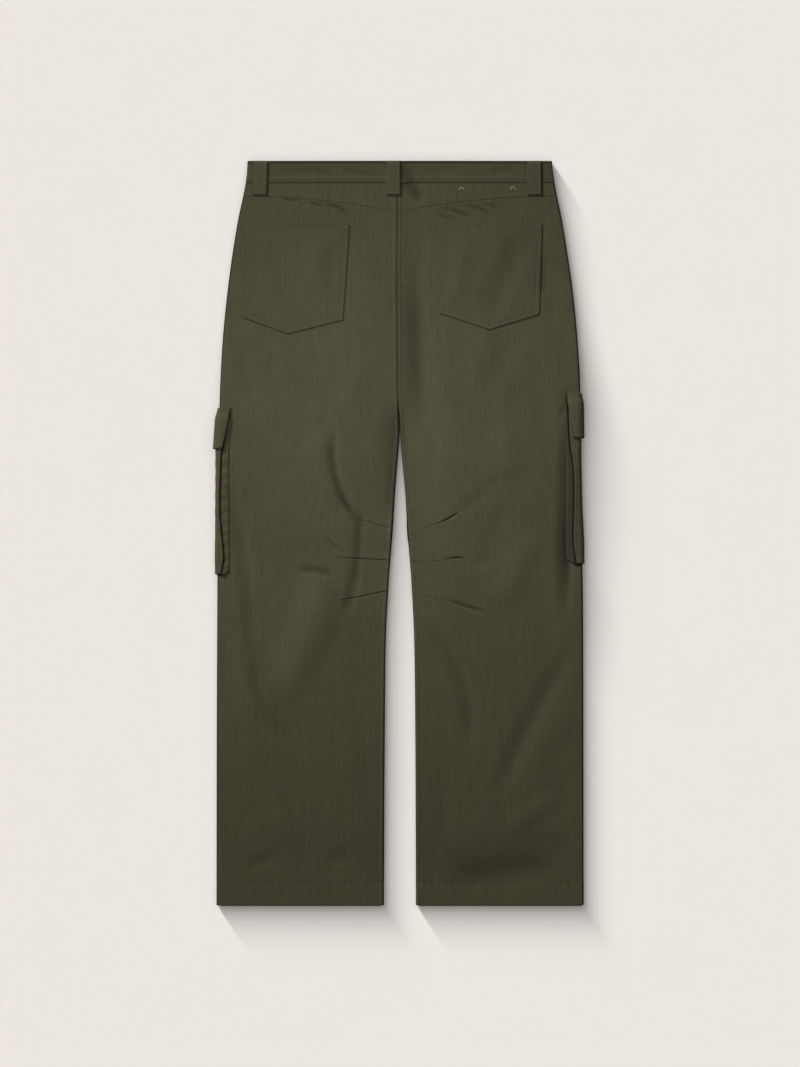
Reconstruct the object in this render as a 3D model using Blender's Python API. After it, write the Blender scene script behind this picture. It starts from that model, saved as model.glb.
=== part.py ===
"""Cargo trousers laid flat on a table, back up: the sewn pieces as thin cloth walls.

Metres. +Y runs from the hems to the waist, +X to the right as seen from above, +Z up from the
table. Each leg is a tube pressed flat: the back panel is its upper layer, the front panel its
lower one, and they meet at the side seam and the inseam, half way up a small roll. Whatever is
sewn on a panel is laid out on that panel's own surface and moved out from it.
"""

import math
from collections import namedtuple
from functools import lru_cache

import bmesh
import bpy
from mathutils import Vector

# ---------------------------------------------------------------------------------------------
# Driving sizes
# ---------------------------------------------------------------------------------------------
HALF_LENGTH = 0.540  # waist at +, hems at -
CLOTH = 0.0012  # one layer of heavy twill
BAND_WALL = 0.0018  # waistband, folded double
LOOP_WALL = 0.0015
FLAP_WALL = 0.0020  # pocket flap, two layers bagged out
GUSSET_WALL = 0.0010
GAP = 0.0003  # between neighbours
SEAM_GAP = GAP / 2  # each side of a seam
LAY_GAP = 0.0004  # under a pocket or loop on its panel

ROLL = 0.0032  # how far in the rolled edge of a leg reaches
ROLL_WALL = 0.0005  # upright strip at the seam in the middle of the roll
RIM_STEP = 0.0002  # the same strip lying flat, where the layers run on past the middle
EDGE_FADE = 0.022  # folds die out this far from an edge
SEAM_SINK = 0.0004  # groove at the centre back and centre front seams
CROTCH_TOP, CROTCH_END = 0.205, 0.160  # where the two legs part

BAND_HEIGHT = 0.0322
BAND_SEAM = HALF_LENGTH - BAND_HEIGHT
FRONT_DIP = 0.014  # the front waist is cut lower in the middle
YOKE_SIDE, YOKE_CENTRE, YOKE_CURVE = 0.4882, 0.4654, 2.0  # level at the sides, then dips
HEM_CORNER, HEM_CORNER_REACH = 0.0012, 0.006
PANEL_WIDTH = 0.245  # about how wide a leg panel is, to place its rows and columns

LOOP_WIDTH, LOOP_LENGTH = 0.0205, 0.0495
TAB_END = 0.020  # waistband ends overlap this far past the middle
TAB_RISE, TAB_RAMP = 0.0021, 0.034
FLY_LEFT, FLY_RIGHT, FLY_BOTTOM, FLY_CURVE = -0.040, 0.004, 0.326, 0.040
BUTTON_RADIUS, BUTTON_THICK = 0.0085, 0.0020
BUTTON_X, BUTTON_Y = 0.004, BAND_SEAM + BAND_HEIGHT / 2 - FRONT_DIP

FACE_OUT = 2 * GAP + GUSSET_WALL + CLOTH  # outside of the cargo pocket above its leg
FLAP_RISE = GAP + FLAP_WALL  # what the flap adds on top of that

LEFT, RIGHT = -1, 1

# Outline, from waist to hem: where the side and inner edges of each leg run.
Section = namedtuple("Section", "height left_side left_inner right_inner right_side")
SECTIONS = (
    Section(0.540, -0.2192, -0.0021, -0.0018, 0.2222),
    Section(0.509, -0.2218, -0.0021, -0.0018, 0.2257),
    Section(0.454, -0.2331, -0.0022, -0.0019, 0.2367),
    Section(0.396, -0.2425, -0.0024, -0.0021, 0.2461),
    Section(0.338, -0.2498, -0.0024, -0.0021, 0.2539),
    Section(0.281, -0.2553, -0.0021, -0.0018, 0.2592),
    Section(0.223, -0.2587, -0.0016, -0.0013, 0.2629),
    Section(0.190, -0.2598, -0.0008, -0.0005, 0.2626),
    Section(0.153, -0.2606, 0.0012, 0.0018, 0.2620),
    Section(0.121, -0.2612, -0.0004, 0.0038, 0.2618),
    Section(0.049, -0.2620, -0.0061, 0.0101, 0.2632),
    Section(-0.030, -0.2624, -0.0117, 0.0157, 0.2652),
    Section(-0.067, -0.2629, -0.0143, 0.0181, 0.2668),
    Section(-0.153, -0.2634, -0.0187, 0.0223, 0.2674),
    Section(-0.298, -0.2640, -0.0203, 0.0240, 0.2677),
    Section(-0.540, -0.2643, -0.0216, 0.0249, 0.2681),
)

# How high the two layers lie, and how much higher in the middle than at the sides.
Stack = namedtuple("Stack", "height thick crown")
STACKS = (
    Stack(0.540, 0.0070, 0.0024),
    Stack(0.480, 0.0068, 0.0022),
    Stack(0.400, 0.0060, 0.0012),
    Stack(0.230, 0.0056, 0.0000),
    Stack(-0.540, 0.0054, 0.0000),
)

# The largest folds of the upper layer: a soft trough (-) or ridge (+) from one end to the
# other, bowed sideways by bow in the middle, and reach wide to each side.
Fold = namedtuple("Fold", "x1 y1 x2 y2 bow rise reach")
FOLDS = (
    Fold(-0.101, 0.115, -0.056, 0.024, -0.003, -0.0014, 0.020),
    Fold(-0.246, 0.140, -0.214, -0.115, 0.010, -0.0013, 0.026),
    Fold(-0.182, -0.060, -0.172, -0.250, 0.004, 0.0015, 0.034),
    Fold(-0.078, -0.105, -0.146, -0.205, 0.006, -0.0016, 0.026),
    Fold(-0.212, -0.240, -0.140, -0.312, 0.006, -0.0016, 0.026),
    Fold(-0.100, -0.400, -0.104, -0.505, 0.000, -0.0012, 0.030),
    Fold(0.238, 0.160, 0.234, -0.110, 0.004, -0.0022, 0.024),
    Fold(0.172, 0.030, 0.198, -0.110, 0.000, 0.0015, 0.030),
    Fold(0.040, -0.145, 0.100, -0.310, 0.012, -0.0018, 0.028),
    Fold(0.236, -0.160, 0.142, -0.390, 0.010, -0.0023, 0.030),
    Fold(0.200, -0.345, 0.144, -0.435, 0.000, 0.0015, 0.028),
    Fold(0.112, -0.462, 0.236, -0.478, 0.000, -0.0013, 0.034),
)
FOLD_TAPER = 0.30

# What lies under the front layer and holds it up: wraps is True where the thing goes on
# round the side of the leg, so that it holds up the back layer as well.
Under = namedtuple("Under", "x1 x2 y1 y2 rise fade wraps")

Cargo = namedtuple("Cargo", "side flap_top flap_bottom bag_top bag_bottom inner")
CARGOS = {
    "left": Cargo(LEFT, 0.182, 0.122, 0.166, -0.059, 0.160),
    "right": Cargo(RIGHT, 0.204, 0.138, 0.187, -0.0435, 0.160),
}
GUSSET_STRIP = 0.020
GUSSET_MARGIN = 0.006  # gusset beyond the pocket's folded edge, on the hidden sides
FLAP_MARGIN = 0.004  # flap beyond the pocket
CARGO_INNER, CARGO_OUTER = 0.082, 0.320  # stretch of the leg that a cargo pocket holds up
CARGO_FADE = 0.026

# The cargo pocket's strip on the upper side, by share of the way down: how far the folded
# edge and the gusset's seam lie from the leg's side, and how far the bag puffs out sideways.
Strip = namedtuple("Strip", "share fold seam puff")
STRIPS = {
    "left": (
        Strip(0.00, 0.0120, 0.0175, 0.0002),
        Strip(0.20, 0.0075, 0.0150, 0.0022),
        Strip(0.45, 0.0040, 0.0150, 0.0018),
        Strip(0.70, 0.0060, 0.0160, 0.0014),
        Strip(0.88, 0.0105, 0.0170, 0.0012),
        Strip(1.00, 0.0080, 0.0165, 0.0004),
    ),
    "right": (
        Strip(0.00, 0.0150, 0.0215, 0.0001),
        Strip(0.25, 0.0128, 0.0192, 0.0006),
        Strip(0.55, 0.0092, 0.0200, 0.0010),
        Strip(0.85, 0.0110, 0.0228, 0.0016),
        Strip(1.00, 0.0090, 0.0220, 0.0006),
    ),
}
# The flap's edge on the upper side at its top and its bottom, and its puff there.
FlapEnd = namedtuple("FlapEnd", "reach puff")
FLAPS = {
    "left": (FlapEnd(0.0165, 0.0000), FlapEnd(0.0062, 0.0032)),
    "right": (FlapEnd(0.0200, 0.0000), FlapEnd(0.0094, 0.0016)),
}

# Back pockets: top corners, bottom corners and the point between them.
Patch = namedtuple("Patch", "top_left top_right low_right point low_left")
BACK_POCKETS = {
    "left": Patch(
        (-0.2290, 0.4470), (-0.0706, 0.4470), (-0.0807, 0.3095), (-0.1610, 0.2893), (-0.2285, 0.3139)
    ),
    "right": Patch(
        (0.0516, 0.4484), (0.2086, 0.4484), (0.2043, 0.3175), (0.1312, 0.2951), (0.0596, 0.3189)
    ),
}
# Belt loops: middle of the top end, middle of the bottom end, and whether on the front.
Loop = namedtuple("Loop", "top bottom on_front")
LOOPS = {
    "left": Loop(-0.2000, -0.2018, False),
    "centre": Loop(-0.0082, -0.0080, False),
    "right": Loop(0.1962, 0.1966, False),
    "front_left": Loop(-0.1180, -0.1180, True),
    "front_right": Loop(0.1180, 0.1180, True),
}

OLIVE = (0.080, 0.073, 0.045)
HORN = (0.030, 0.024, 0.016)


# ---------------------------------------------------------------------------------------------
# The surface of the two layers
# ---------------------------------------------------------------------------------------------
def smooth(share):
    share = min(1.0, max(0.0, share))
    return share * share * (3 - 2 * share)


def mix(a, b, share):
    return a + (b - a) * share


def read(rows, at):
    """The row of a table at a place between its rows, on a smooth curve through them."""
    keys = [row[0] for row in rows]
    order = -1 if keys[0] > keys[-1] else 1
    if (at - keys[0]) * order <= 0:
        return rows[0]
    if (at - keys[-1]) * order >= 0:
        return rows[-1]
    k = next(i for i in range(len(rows) - 1) if (keys[i + 1] - at) * order >= 0)
    span = keys[k + 1] - keys[k]
    t = (at - keys[k]) / span

    def slope(i, column):
        low, high = max(i - 1, 0), min(i + 1, len(rows) - 1)
        return (rows[high][column] - rows[low][column]) / (keys[high] - keys[low])

    values = [at]
    for column in range(1, len(rows[0])):
        start, end = rows[k][column], rows[k + 1][column]
        values.append(
            (1 + 2 * t) * (1 - t) ** 2 * start
            + t * (1 - t) ** 2 * span * slope(k, column)
            + t * t * (3 - 2 * t) * end
            + t * t * (t - 1) * span * slope(k + 1, column)
        )
    return type(rows[0])(*values)


@lru_cache(maxsize=None)
def section(y):
    return read(SECTIONS, y)


@lru_cache(maxsize=None)
def stack(y):
    return read(STACKS, y)


def edges(side, y):
    """x of the side seam's edge and of the inner edge."""
    row = section(y)
    if side == LEFT:
        return row.left_side, row.left_inner
    return row.right_side, row.right_inner


def inside(value, low, high, fade):
    """1 between low and high, falling softly to 0 over fade outside them."""
    beyond = max(low - value, value - high, 0.0)
    return smooth(1 - beyond / fade)


def front_dip(x, y):
    """How much lower the front waist lies than the back one."""
    side = max(abs(section(y).left_side), 1e-6)
    return FRONT_DIP * max(0.0, 1 - (x / side) ** 2)


def things_underneath():
    rows = []
    for cargo in CARGOS.values():
        x1, x2 = sorted((CARGO_OUTER * cargo.side, CARGO_INNER * cargo.side))
        low = cargo.bag_bottom - GUSSET_MARGIN
        rows.append(Under(x1, x2, low, cargo.bag_top, FACE_OUT, CARGO_FADE, True))
        rows.append(Under(x1, x2, cargo.flap_bottom, cargo.flap_top, FLAP_RISE, CARGO_FADE, True))
    # The front waist bridges from loop to loop; the fly and the button hold it up as well.
    rows.append(Under(-0.190, 0.190, 0.440, HALF_LENGTH, LOOP_WALL + GAP, 0.045, False))
    fly_side, fly_middle, fly_low = FLY_LEFT - 0.012, FLY_RIGHT + 0.004, FLY_BOTTOM - 0.014
    rows.append(Under(fly_side, fly_middle, fly_low, BAND_SEAM, CLOTH + GAP, 0.030, False))
    band_low = BAND_SEAM - FRONT_DIP - 0.002
    rows.append(Under(-0.022, 0.022, band_low, HALF_LENGTH, BUTTON_THICK + GAP, 0.030, False))
    return rows


UNDERNEATH = things_underneath()


def lift(x, y, wraps_only=False):
    """How high things underneath hold the lower layer, or with wraps_only the whole leg."""
    stacked, highest = 0.0, 0.0
    for row in UNDERNEATH:
        rise = row.rise * inside(x, row.x1, row.x2, row.fade) * inside(y, row.y1, row.y2, row.fade)
        if row.wraps:
            stacked += rise
        elif not wraps_only:
            highest = max(highest, rise)
    return stacked + highest


def folds(x, y):
    total = 0.0
    for fold in FOLDS:
        dx, dy = fold.x2 - fold.x1, fold.y2 - fold.y1
        length = math.hypot(dx, dy)
        t = ((x - fold.x1) * dx + (y - fold.y1) * dy) / length**2
        if not 0 < t < 1:
            continue
        across = ((x - fold.x1) * dy - (y - fold.y1) * dx) / length - fold.bow * 4 * t * (1 - t)
        if abs(across) < fold.reach:
            bump = (1 + math.cos(math.pi * across / fold.reach)) / 2
            total += fold.rise * bump * smooth(t / FOLD_TAPER) * smooth((1 - t) / FOLD_TAPER)
    return total


def parted(y):
    """0 above the crotch, where the layers run on past the middle, and 1 along the legs."""
    return smooth((CROTCH_TOP - y) / (CROTCH_TOP - CROTCH_END))


def roll(distance):
    """Height of a quarter round, 0 at the edge and 1 from ROLL inwards."""
    share = min(1.0, max(0.0, distance / ROLL))
    return math.sqrt(1 - (1 - share) ** 2)


def back_height(side, x, y):
    """z of the upper layer's outer face."""
    outer, inner = edges(side, y)
    row = stack(y)
    from_side, from_inner = abs(x - outer), abs(x - inner)
    near_edge = min(from_side, from_inner if parted(y) > 0 else from_side)
    side_base = lift(outer, y, True)
    level = row.thick + row.crown * (1 - (x / outer) ** 2) + lift(x, y, True)
    level += folds(x, y) * smooth(near_edge / EDGE_FADE)
    side_low = side_base + row.thick / 2 + ROLL_WALL
    inner_low = mix(level - SEAM_SINK, row.thick / 2 + ROLL_WALL, parted(y))
    level -= (level - side_low) * (1 - roll(from_side))
    return level - (level - inner_low) * (1 - roll(from_inner))


def front_height(side, x, y):
    """z of the lower layer's outer face, which rests on the table."""
    outer, inner = edges(side, y)
    row = stack(y)
    level = lift(x, y)
    side_high = lift(outer, y, True) + row.thick / 2 - ROLL_WALL
    inner_high = mix(level, row.thick / 2 - ROLL_WALL, parted(y))
    level += (side_high - level) * (1 - roll(abs(x - outer)))
    return level + (inner_high - level) * (1 - roll(abs(x - inner)))


# ---------------------------------------------------------------------------------------------
# Making a wall of cloth
# ---------------------------------------------------------------------------------------------
def material(name, color, roughness):
    made = bpy.data.materials.get(name)
    if made is None:
        made = bpy.data.materials.new(name)
        made.use_nodes = True
        shader = made.node_tree.nodes["Principled BSDF"]
        shader.inputs["Base Color"].default_value = (*color, 1.0)
        shader.inputs["Roughness"].default_value = roughness
        shader.inputs["Metallic"].default_value = 0.0
    return made


def piece(name, bm, wall, color=OLIVE, surface="twill"):
    """An object of the outer face in bm, with its wall added on the inner side."""
    mesh = bpy.data.meshes.new(name)
    bm.to_mesh(mesh)
    bm.free()
    mesh.shade_smooth()
    made = bpy.data.objects.new(name, mesh)
    bpy.context.scene.collection.objects.link(made)
    made.data.materials.append(material(surface, color, 0.9))
    if wall:
        solid = made.modifiers.new("wall", "SOLIDIFY")
        solid.thickness = wall
        solid.offset = -1
        solid.use_even_offset = True
        solid.use_quality_normals = True
    return made


def panel(name, columns, rows, place, wall, flip, keep=None, **finish):
    """A grid of columns by rows, each corner put where place says; keep drops cells."""
    bm = bmesh.new()
    across, along = len(columns) - 1, len(rows) - 1
    bmesh.ops.create_grid(bm, x_segments=across, y_segments=along, size=0.5)
    spots = {}
    for vert in bm.verts:
        i, j = round((vert.co.x + 0.5) * across), round((vert.co.y + 0.5) * along)
        spots[vert] = (i, j)
        vert.co = place(columns[i], rows[j])
    if keep:
        dropped = []
        for face in bm.faces:
            i = min(spots[vert][0] for vert in face.verts)
            j = min(spots[vert][1] for vert in face.verts)
            if not keep(i, j):
                dropped.append(face)
        bmesh.ops.delete(bm, geom=dropped, context="FACES")
    if flip:
        bmesh.ops.reverse_faces(bm, faces=bm.faces[:])
    return piece(name, bm, wall, **finish)


def steps(*stretches):
    """Evenly spaced values along (start, end, count) stretches that follow each other."""
    values = [stretches[0][0]]
    for start, end, count in stretches:
        values += [mix(start, end, k / count) for k in range(1, count + 1)]
    return values


# A column of a leg panel: rim is the seam's own edge, then angles round the roll, then shares
# of the flat width, and the same at the inner edge. "at" is a distance from the side.
Column = namedtuple("Column", "place value")
ROLL_ANGLES = [math.radians(angle) for angle in (0, 30, 60, 90)]
BACK_SHARES = [k / 7 for k in range(1, 7)]
FRONT_SHARES = (0.15, 0.30, 0.50, 0.69, 0.81)  # the fourth lies just past a cargo gusset


def leg_columns(back):
    columns = [Column("side rim", 0)]
    columns += [Column("side", angle) for angle in ROLL_ANGLES]
    columns += [Column("flat", share) for share in (BACK_SHARES if back else FRONT_SHARES)]
    columns += [Column("inner", angle) for angle in reversed(ROLL_ANGLES)]
    return columns + [Column("inner rim", 0)]


def leg_rows(cargo, top, above, below):
    """Heights of a leg panel's rows, down from top, with rows on each edge of the pocket."""
    low = cargo.bag_bottom - GUSSET_MARGIN
    return steps(
        (top, 0.250, above),
        (0.250, cargo.flap_top, 2),
        (cargo.flap_top, cargo.bag_top, 1),
        (cargo.bag_top, cargo.flap_bottom, 2),
        (cargo.flap_bottom, cargo.flap_bottom - CARGO_FADE, 1),
        (cargo.flap_bottom - CARGO_FADE, low + GUSSET_STRIP, 5),
        (low + GUSSET_STRIP, low, 1),
        (low, low - CARGO_FADE, 2),
        (low - CARGO_FADE, -HALF_LENGTH, below),
    )


def column_x(column, side, y):
    outer, inner = edges(side, y)
    inward = -side
    if column.place.startswith("side"):
        return outer + inward * ROLL * (1 - math.cos(column.value))
    if column.place == "inner":
        return inner - inward * ROLL * (1 - math.cos(column.value))
    if column.place == "inner rim":
        return inner
    if column.place == "at":
        return outer + inward * column.value
    return mix(outer + inward * ROLL, inner - inward * ROLL, column.value)


@lru_cache(maxsize=None)
def layer_point(side, column, y, back):
    """A point of a leg's upper or lower layer; the rims keep the seam's gap."""
    x = column_x(column, side, y)
    if column.place == "at":
        ladder = [layer_point(side, step, y, back) for step in leg_columns(back)[4:-5]]
        k = next(k for k in range(1, len(ladder)) if (ladder[k].x - x) * side <= 0)
        share = (x - ladder[k - 1].x) / (ladder[k].x - ladder[k - 1].x)
        return ladder[k - 1].lerp(ladder[k], share)
    z = (back_height if back else front_height)(side, x, y)
    toward_seam = -1 if back else 1
    if column.place == "side rim":
        z += toward_seam * (ROLL_WALL - SEAM_GAP)
    if column.place == "inner rim":
        z += toward_seam * (ROLL_WALL - SEAM_GAP) * parted(y)
    if column.place == "inner" and column.value == 0:
        x += side * RIM_STEP * (1 - parted(y))
    return Vector((x, y, z))


def width_share(side, column, y):
    """0 at the side and 1 at the inner edge."""
    outer, inner = edges(side, y)
    return (column_x(column, side, y) - outer) / (inner - outer)


def hem_line(share):
    """The hem, with its corners a touch rounded."""
    from_corner = min(share, 1 - share) * PANEL_WIDTH
    return -HALF_LENGTH + HEM_CORNER * (1 - smooth(from_corner / HEM_CORNER_REACH))


def front_top(side, share):
    outer, inner = edges(side, BAND_SEAM)
    return BAND_SEAM - SEAM_GAP - front_dip(mix(outer, inner, share), BAND_SEAM)


def leg_panel(name, side, heights, top, bottom, back):
    """heights run down; the first and last rows follow top(share) and bottom(share)."""
    first, last = heights[0], heights[-1]

    def place(column, height):
        share = width_share(side, column, height)
        down = (first - height) / (first - last)
        near_top, near_bottom = smooth(1 - down * 4), smooth(1 - (1 - down) * 4)
        y = height + (top(share) - first) * near_top + (bottom(share) - last) * near_bottom
        return layer_point(side, column, y, back)

    flip = (side == RIGHT) == back
    return panel(name, leg_columns(back), list(reversed(heights)), place, CLOTH, flip)


# ---------------------------------------------------------------------------------------------
# Sub-parts
# ---------------------------------------------------------------------------------------------
def yoke_line(share):
    return mix(YOKE_SIDE, YOKE_CENTRE, share**YOKE_CURVE)


def legs():
    for name, cargo in CARGOS.items():
        side = cargo.side
        top = BAND_SEAM - SEAM_GAP
        leg_panel(
            f"back_leg_{name}",
            side,
            leg_rows(cargo, YOKE_SIDE - SEAM_GAP, above=5, below=8),
            lambda share: yoke_line(share) - SEAM_GAP,
            hem_line,
            back=True,
        )
        leg_panel(
            f"front_leg_{name}",
            side,
            leg_rows(cargo, top, above=4, below=3),
            lambda share, side=side: front_top(side, share),
            hem_line,
            back=False,
        )
        leg_panel(
            f"yoke_{name}",
            side,
            steps((top, YOKE_SIDE + SEAM_GAP, 2)),
            lambda share, top=top: top,
            lambda share: yoke_line(share) + SEAM_GAP,
            back=True,
        )


def waistband():
    """One strip from the fly round the left side, across the back and round the right side."""
    turns = [math.radians(a) for a in (90, 60, 30, 0)]
    path = [("front", x) for x in steps((TAB_END, 0.030 - TAB_END, 2), (0.030 - TAB_END, -0.200, 8))]
    path += [("low left", a) for a in turns] + [("high left", a) for a in reversed(turns)]
    path += [("back", x) for x in steps((-0.200, 0.204, 12))]
    path += [("high right", a) for a in turns] + [("low right", a) for a in reversed(turns)]
    path += [("front", x) for x in steps((0.203, 0.060, 5), (0.060, -TAB_END, 4))]
    front_right_start = len(path) - 10

    def place(step, share):
        index, (where, value) = step
        y = mix(BAND_SEAM + SEAM_GAP, HALF_LENGTH, share)
        side = LEFT if "left" in where else RIGHT
        if "left" in where or "right" in where:
            outer, _ = edges(side, y)
            x = outer - side * ROLL * (1 - math.cos(value))
        else:
            x = value
            side = LEFT if x < 0 else RIGHT
        if where == "back" or where.startswith("high"):
            return Vector((x, y, band_top(side, x, y)))
        z = band_bottom(side, x, y - front_dip(x, y))
        if where == "front" and index >= front_right_start:
            z += TAB_RISE * smooth((TAB_END + 0.001 + TAB_RAMP - x) / TAB_RAMP)
        return Vector((x, y - front_dip(x, y), z))

    return panel("waistband", list(enumerate(path)), (0, 1), place, BAND_WALL, False)


def band_top(side, x, y):
    """Outer face of the back waistband, which has no centre seam."""
    row, (outer, _) = stack(y), edges(side, y)
    level = row.thick + row.crown * (1 - (x / outer) ** 2)
    low = row.thick / 2 + ROLL_WALL
    return level - (level - low) * (1 - roll(abs(x - outer)))


def band_bottom(side, x, y):
    row, (outer, _) = stack(y), edges(side, y)
    level = lift(x, y)
    high = row.thick / 2 - ROLL_WALL
    return level + (high - level) * (1 - roll(abs(x - outer)))


def belt_loops():
    half = LOOP_WIDTH / 2
    for name, loop in LOOPS.items():
        def place(across, y, loop=loop):
            down = (HALF_LENGTH - y) / LOOP_LENGTH
            x = mix(loop.top, loop.bottom, down) + across
            side = LEFT if x < 0 else RIGHT
            if loop.on_front:
                y -= front_dip(loop.top, HALF_LENGTH)
                return Vector((x, y, 0.0))
            return Vector((x, y, band_top(side, x, y) + LAY_GAP + LOOP_WALL))

        rows = steps((HALF_LENGTH - LOOP_LENGTH, HALF_LENGTH, 3))
        panel(f"belt_loop_{name}", (-half, 0.0, half), rows, place, LOOP_WALL, loop.on_front)


def back_pockets():
    for name, patch in BACK_POCKETS.items():
        side = LEFT if name == "left" else RIGHT
        point_share = (patch.point[0] - patch.low_left[0]) / (patch.low_right[0] - patch.low_left[0])

        def low_edge(share, patch=patch, point_share=point_share):
            if share < point_share:
                return mix(patch.low_left[1], patch.point[1], share / point_share)
            return mix(patch.point[1], patch.low_right[1], (share - point_share) / (1 - point_share))

        def place(share, down, patch=patch, side=side, low_edge=low_edge):
            top_x = mix(patch.top_left[0], patch.top_right[0], share)
            low_x = mix(patch.low_left[0], patch.low_right[0], share)
            x = mix(top_x, low_x, down)
            y = mix(mix(patch.top_left[1], patch.top_right[1], share), low_edge(share), down)
            return Vector((x, y, back_height(side, x, y) + LAY_GAP + CLOTH))

        columns = steps((0, point_share, 3), (point_share, 1, 3))
        panel(f"back_pocket_{name}", columns, steps((1, 0, 5)), place, CLOTH, False)


def out_from_leg(side, column, y, back, out, puff):
    """A leg panel's point moved out along its normal, and sideways by puff at the edge."""
    spot = layer_point(side, column, y, back)
    sign = 1 if back else -1
    angle = column.value if column.place == "side" else math.pi / 2
    if angle < math.pi / 2:
        half = stack(y).thick / 2 - ROLL_WALL
        normal = Vector((side * math.cos(angle) / ROLL, 0, sign * math.sin(angle) / half)).normalized()
    else:
        height, d = back_height if back else front_height, 0.001
        slope_x = (height(side, spot.x - side * d, y) - height(side, spot.x, y)) / (-side * d)
        slope_y = (height(side, spot.x, y + d) - height(side, spot.x, y - d)) / (2 * d)
        normal = Vector((-slope_x, -slope_y, 1)).normalized() * sign
    spot = spot + normal * out
    return Vector((spot.x + side * puff * math.cos(angle), y, spot.z))


CLEAR = 0.012  # no panel column falls nearer than this to a pocket's own edge


def wrap_columns(inner, skip_to=None):
    """(column, on the back) pairs from inner, under the leg, round its side to the upper
    layer, ending on "edge", whose place the piece itself gives."""
    flats = [share for share in reversed(FRONT_SHARES) if share * PANEL_WIDTH < inner - CLEAR]
    under = [Column("at", inner)] + ([Column("at", skip_to)] if skip_to else [])
    reach = skip_to - CLEAR if skip_to else inner
    under += [Column("flat", share) for share in flats if share * PANEL_WIDTH < reach]
    under += [Column("side", angle) for angle in reversed(ROLL_ANGLES)]
    above = [Column("side", angle) for angle in ROLL_ANGLES]
    return [(column, False) for column in under] + [(column, True) for column in above] + [("edge", True)]


def cargo_pockets():
    for name, cargo in CARGOS.items():
        strips, (flap_high, flap_low), side = STRIPS[name], FLAPS[name], cargo.side
        low = cargo.bag_bottom - GUSSET_MARGIN
        heights = leg_rows(cargo, 0.300, 1, 1)

        def rows_in(bottom, top, heights=heights):
            inner = [height for height in heights if bottom + 1e-6 < height < top - 1e-6]
            return [bottom] + sorted(inner) + [top]

        def strip_at(y, strips=strips, cargo=cargo):
            return read(strips, (cargo.bag_top - y) / (cargo.bag_top - cargo.bag_bottom))

        def face_place(where, y, side=side, strip_at=strip_at):
            (column, back), row = where, strip_at(y)
            column = Column("at", row.fold) if column == "edge" else column
            return out_from_leg(side, column, y, back, FACE_OUT, row.puff)

        def gusset_place(where, y, side=side, strip_at=strip_at):
            (column, back), row = where, strip_at(y)
            column = Column("at", row.seam) if column == "edge" else column
            return out_from_leg(side, column, y, back, GAP + GUSSET_WALL, 0.0)

        def flap_place(where, y, side=side, cargo=cargo, high=flap_high, low=flap_low):
            column, back = where
            down = (cargo.flap_top - y) / (cargo.flap_top - cargo.flap_bottom)
            column = Column("at", mix(high.reach, low.reach, down)) if column == "edge" else column
            out = lift(edges(side, y)[0], y, True)
            return out_from_leg(side, column, y, back, out, mix(high.puff, low.puff, down))

        panel(
            f"cargo_pocket_{name}",
            wrap_columns(cargo.inner),
            rows_in(cargo.bag_bottom, cargo.bag_top),
            face_place,
            CLOTH,
            side == RIGHT,
        )
        gusset_inner = cargo.inner + GUSSET_MARGIN
        columns = wrap_columns(gusset_inner, gusset_inner - GUSSET_STRIP)
        last = len(columns) - 2
        panel(
            f"cargo_gusset_{name}",
            columns,
            rows_in(low, cargo.bag_top),
            gusset_place,
            GUSSET_WALL,
            side == RIGHT,
            keep=lambda i, j, last=last: j < 1 or i in (0, last),
        )
        panel(
            f"cargo_flap_{name}",
            wrap_columns(cargo.inner + FLAP_MARGIN),
            rows_in(cargo.flap_bottom, cargo.flap_top),
            flap_place,
            FLAP_WALL,
            side == RIGHT,
        )


def fly():
    """The placket over the fronts' meeting edges, its lower end cut to a J."""

    def place(across, down):
        x = mix(FLY_LEFT, FLY_RIGHT, across)
        top = BAND_SEAM - front_dip(x, BAND_SEAM) - SEAM_GAP
        bottom = FLY_BOTTOM + FLY_CURVE * (1 - math.sqrt(1 - (1 - across) ** 2))
        return Vector((x, mix(top, bottom, down), 0.0))

    return panel("fly", steps((0, 0.2, 2), (0.2, 1, 3)), steps((1, 0, 6)), place, CLOTH, True)


def button():
    bm = bmesh.new()
    bmesh.ops.create_cone(
        bm, cap_ends=True, segments=24, radius1=BUTTON_RADIUS, radius2=BUTTON_RADIUS, depth=BUTTON_THICK
    )
    bmesh.ops.translate(bm, verts=bm.verts[:], vec=(BUTTON_X, BUTTON_Y, BUTTON_THICK / 2))
    return piece("waist_button", bm, 0.0, color=HORN, surface="horn")


for old in list(bpy.data.objects):
    bpy.data.objects.remove(old, do_unlink=True)
legs()
waistband()
belt_loops()
back_pockets()
cargo_pockets()
fly()
button()
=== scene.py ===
# %% [markdown]
# # Cargo trousers, laid out back side up
#
# A pair of wide olive cargo trousers lies flat on a table with its back facing up. We build it as
# a sewing room would: leg panels, yokes, waistband, loops, pockets, fly and button are separate
# pieces of cloth, and each one is a thin curved sheet with a wall of its own.
#
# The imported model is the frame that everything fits. Each piece here stands for one node of it.

# %% Load the frame
import math
from collections import namedtuple

import bmesh
import bpy
import numpy as np
from mathutils import Matrix, Vector


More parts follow.
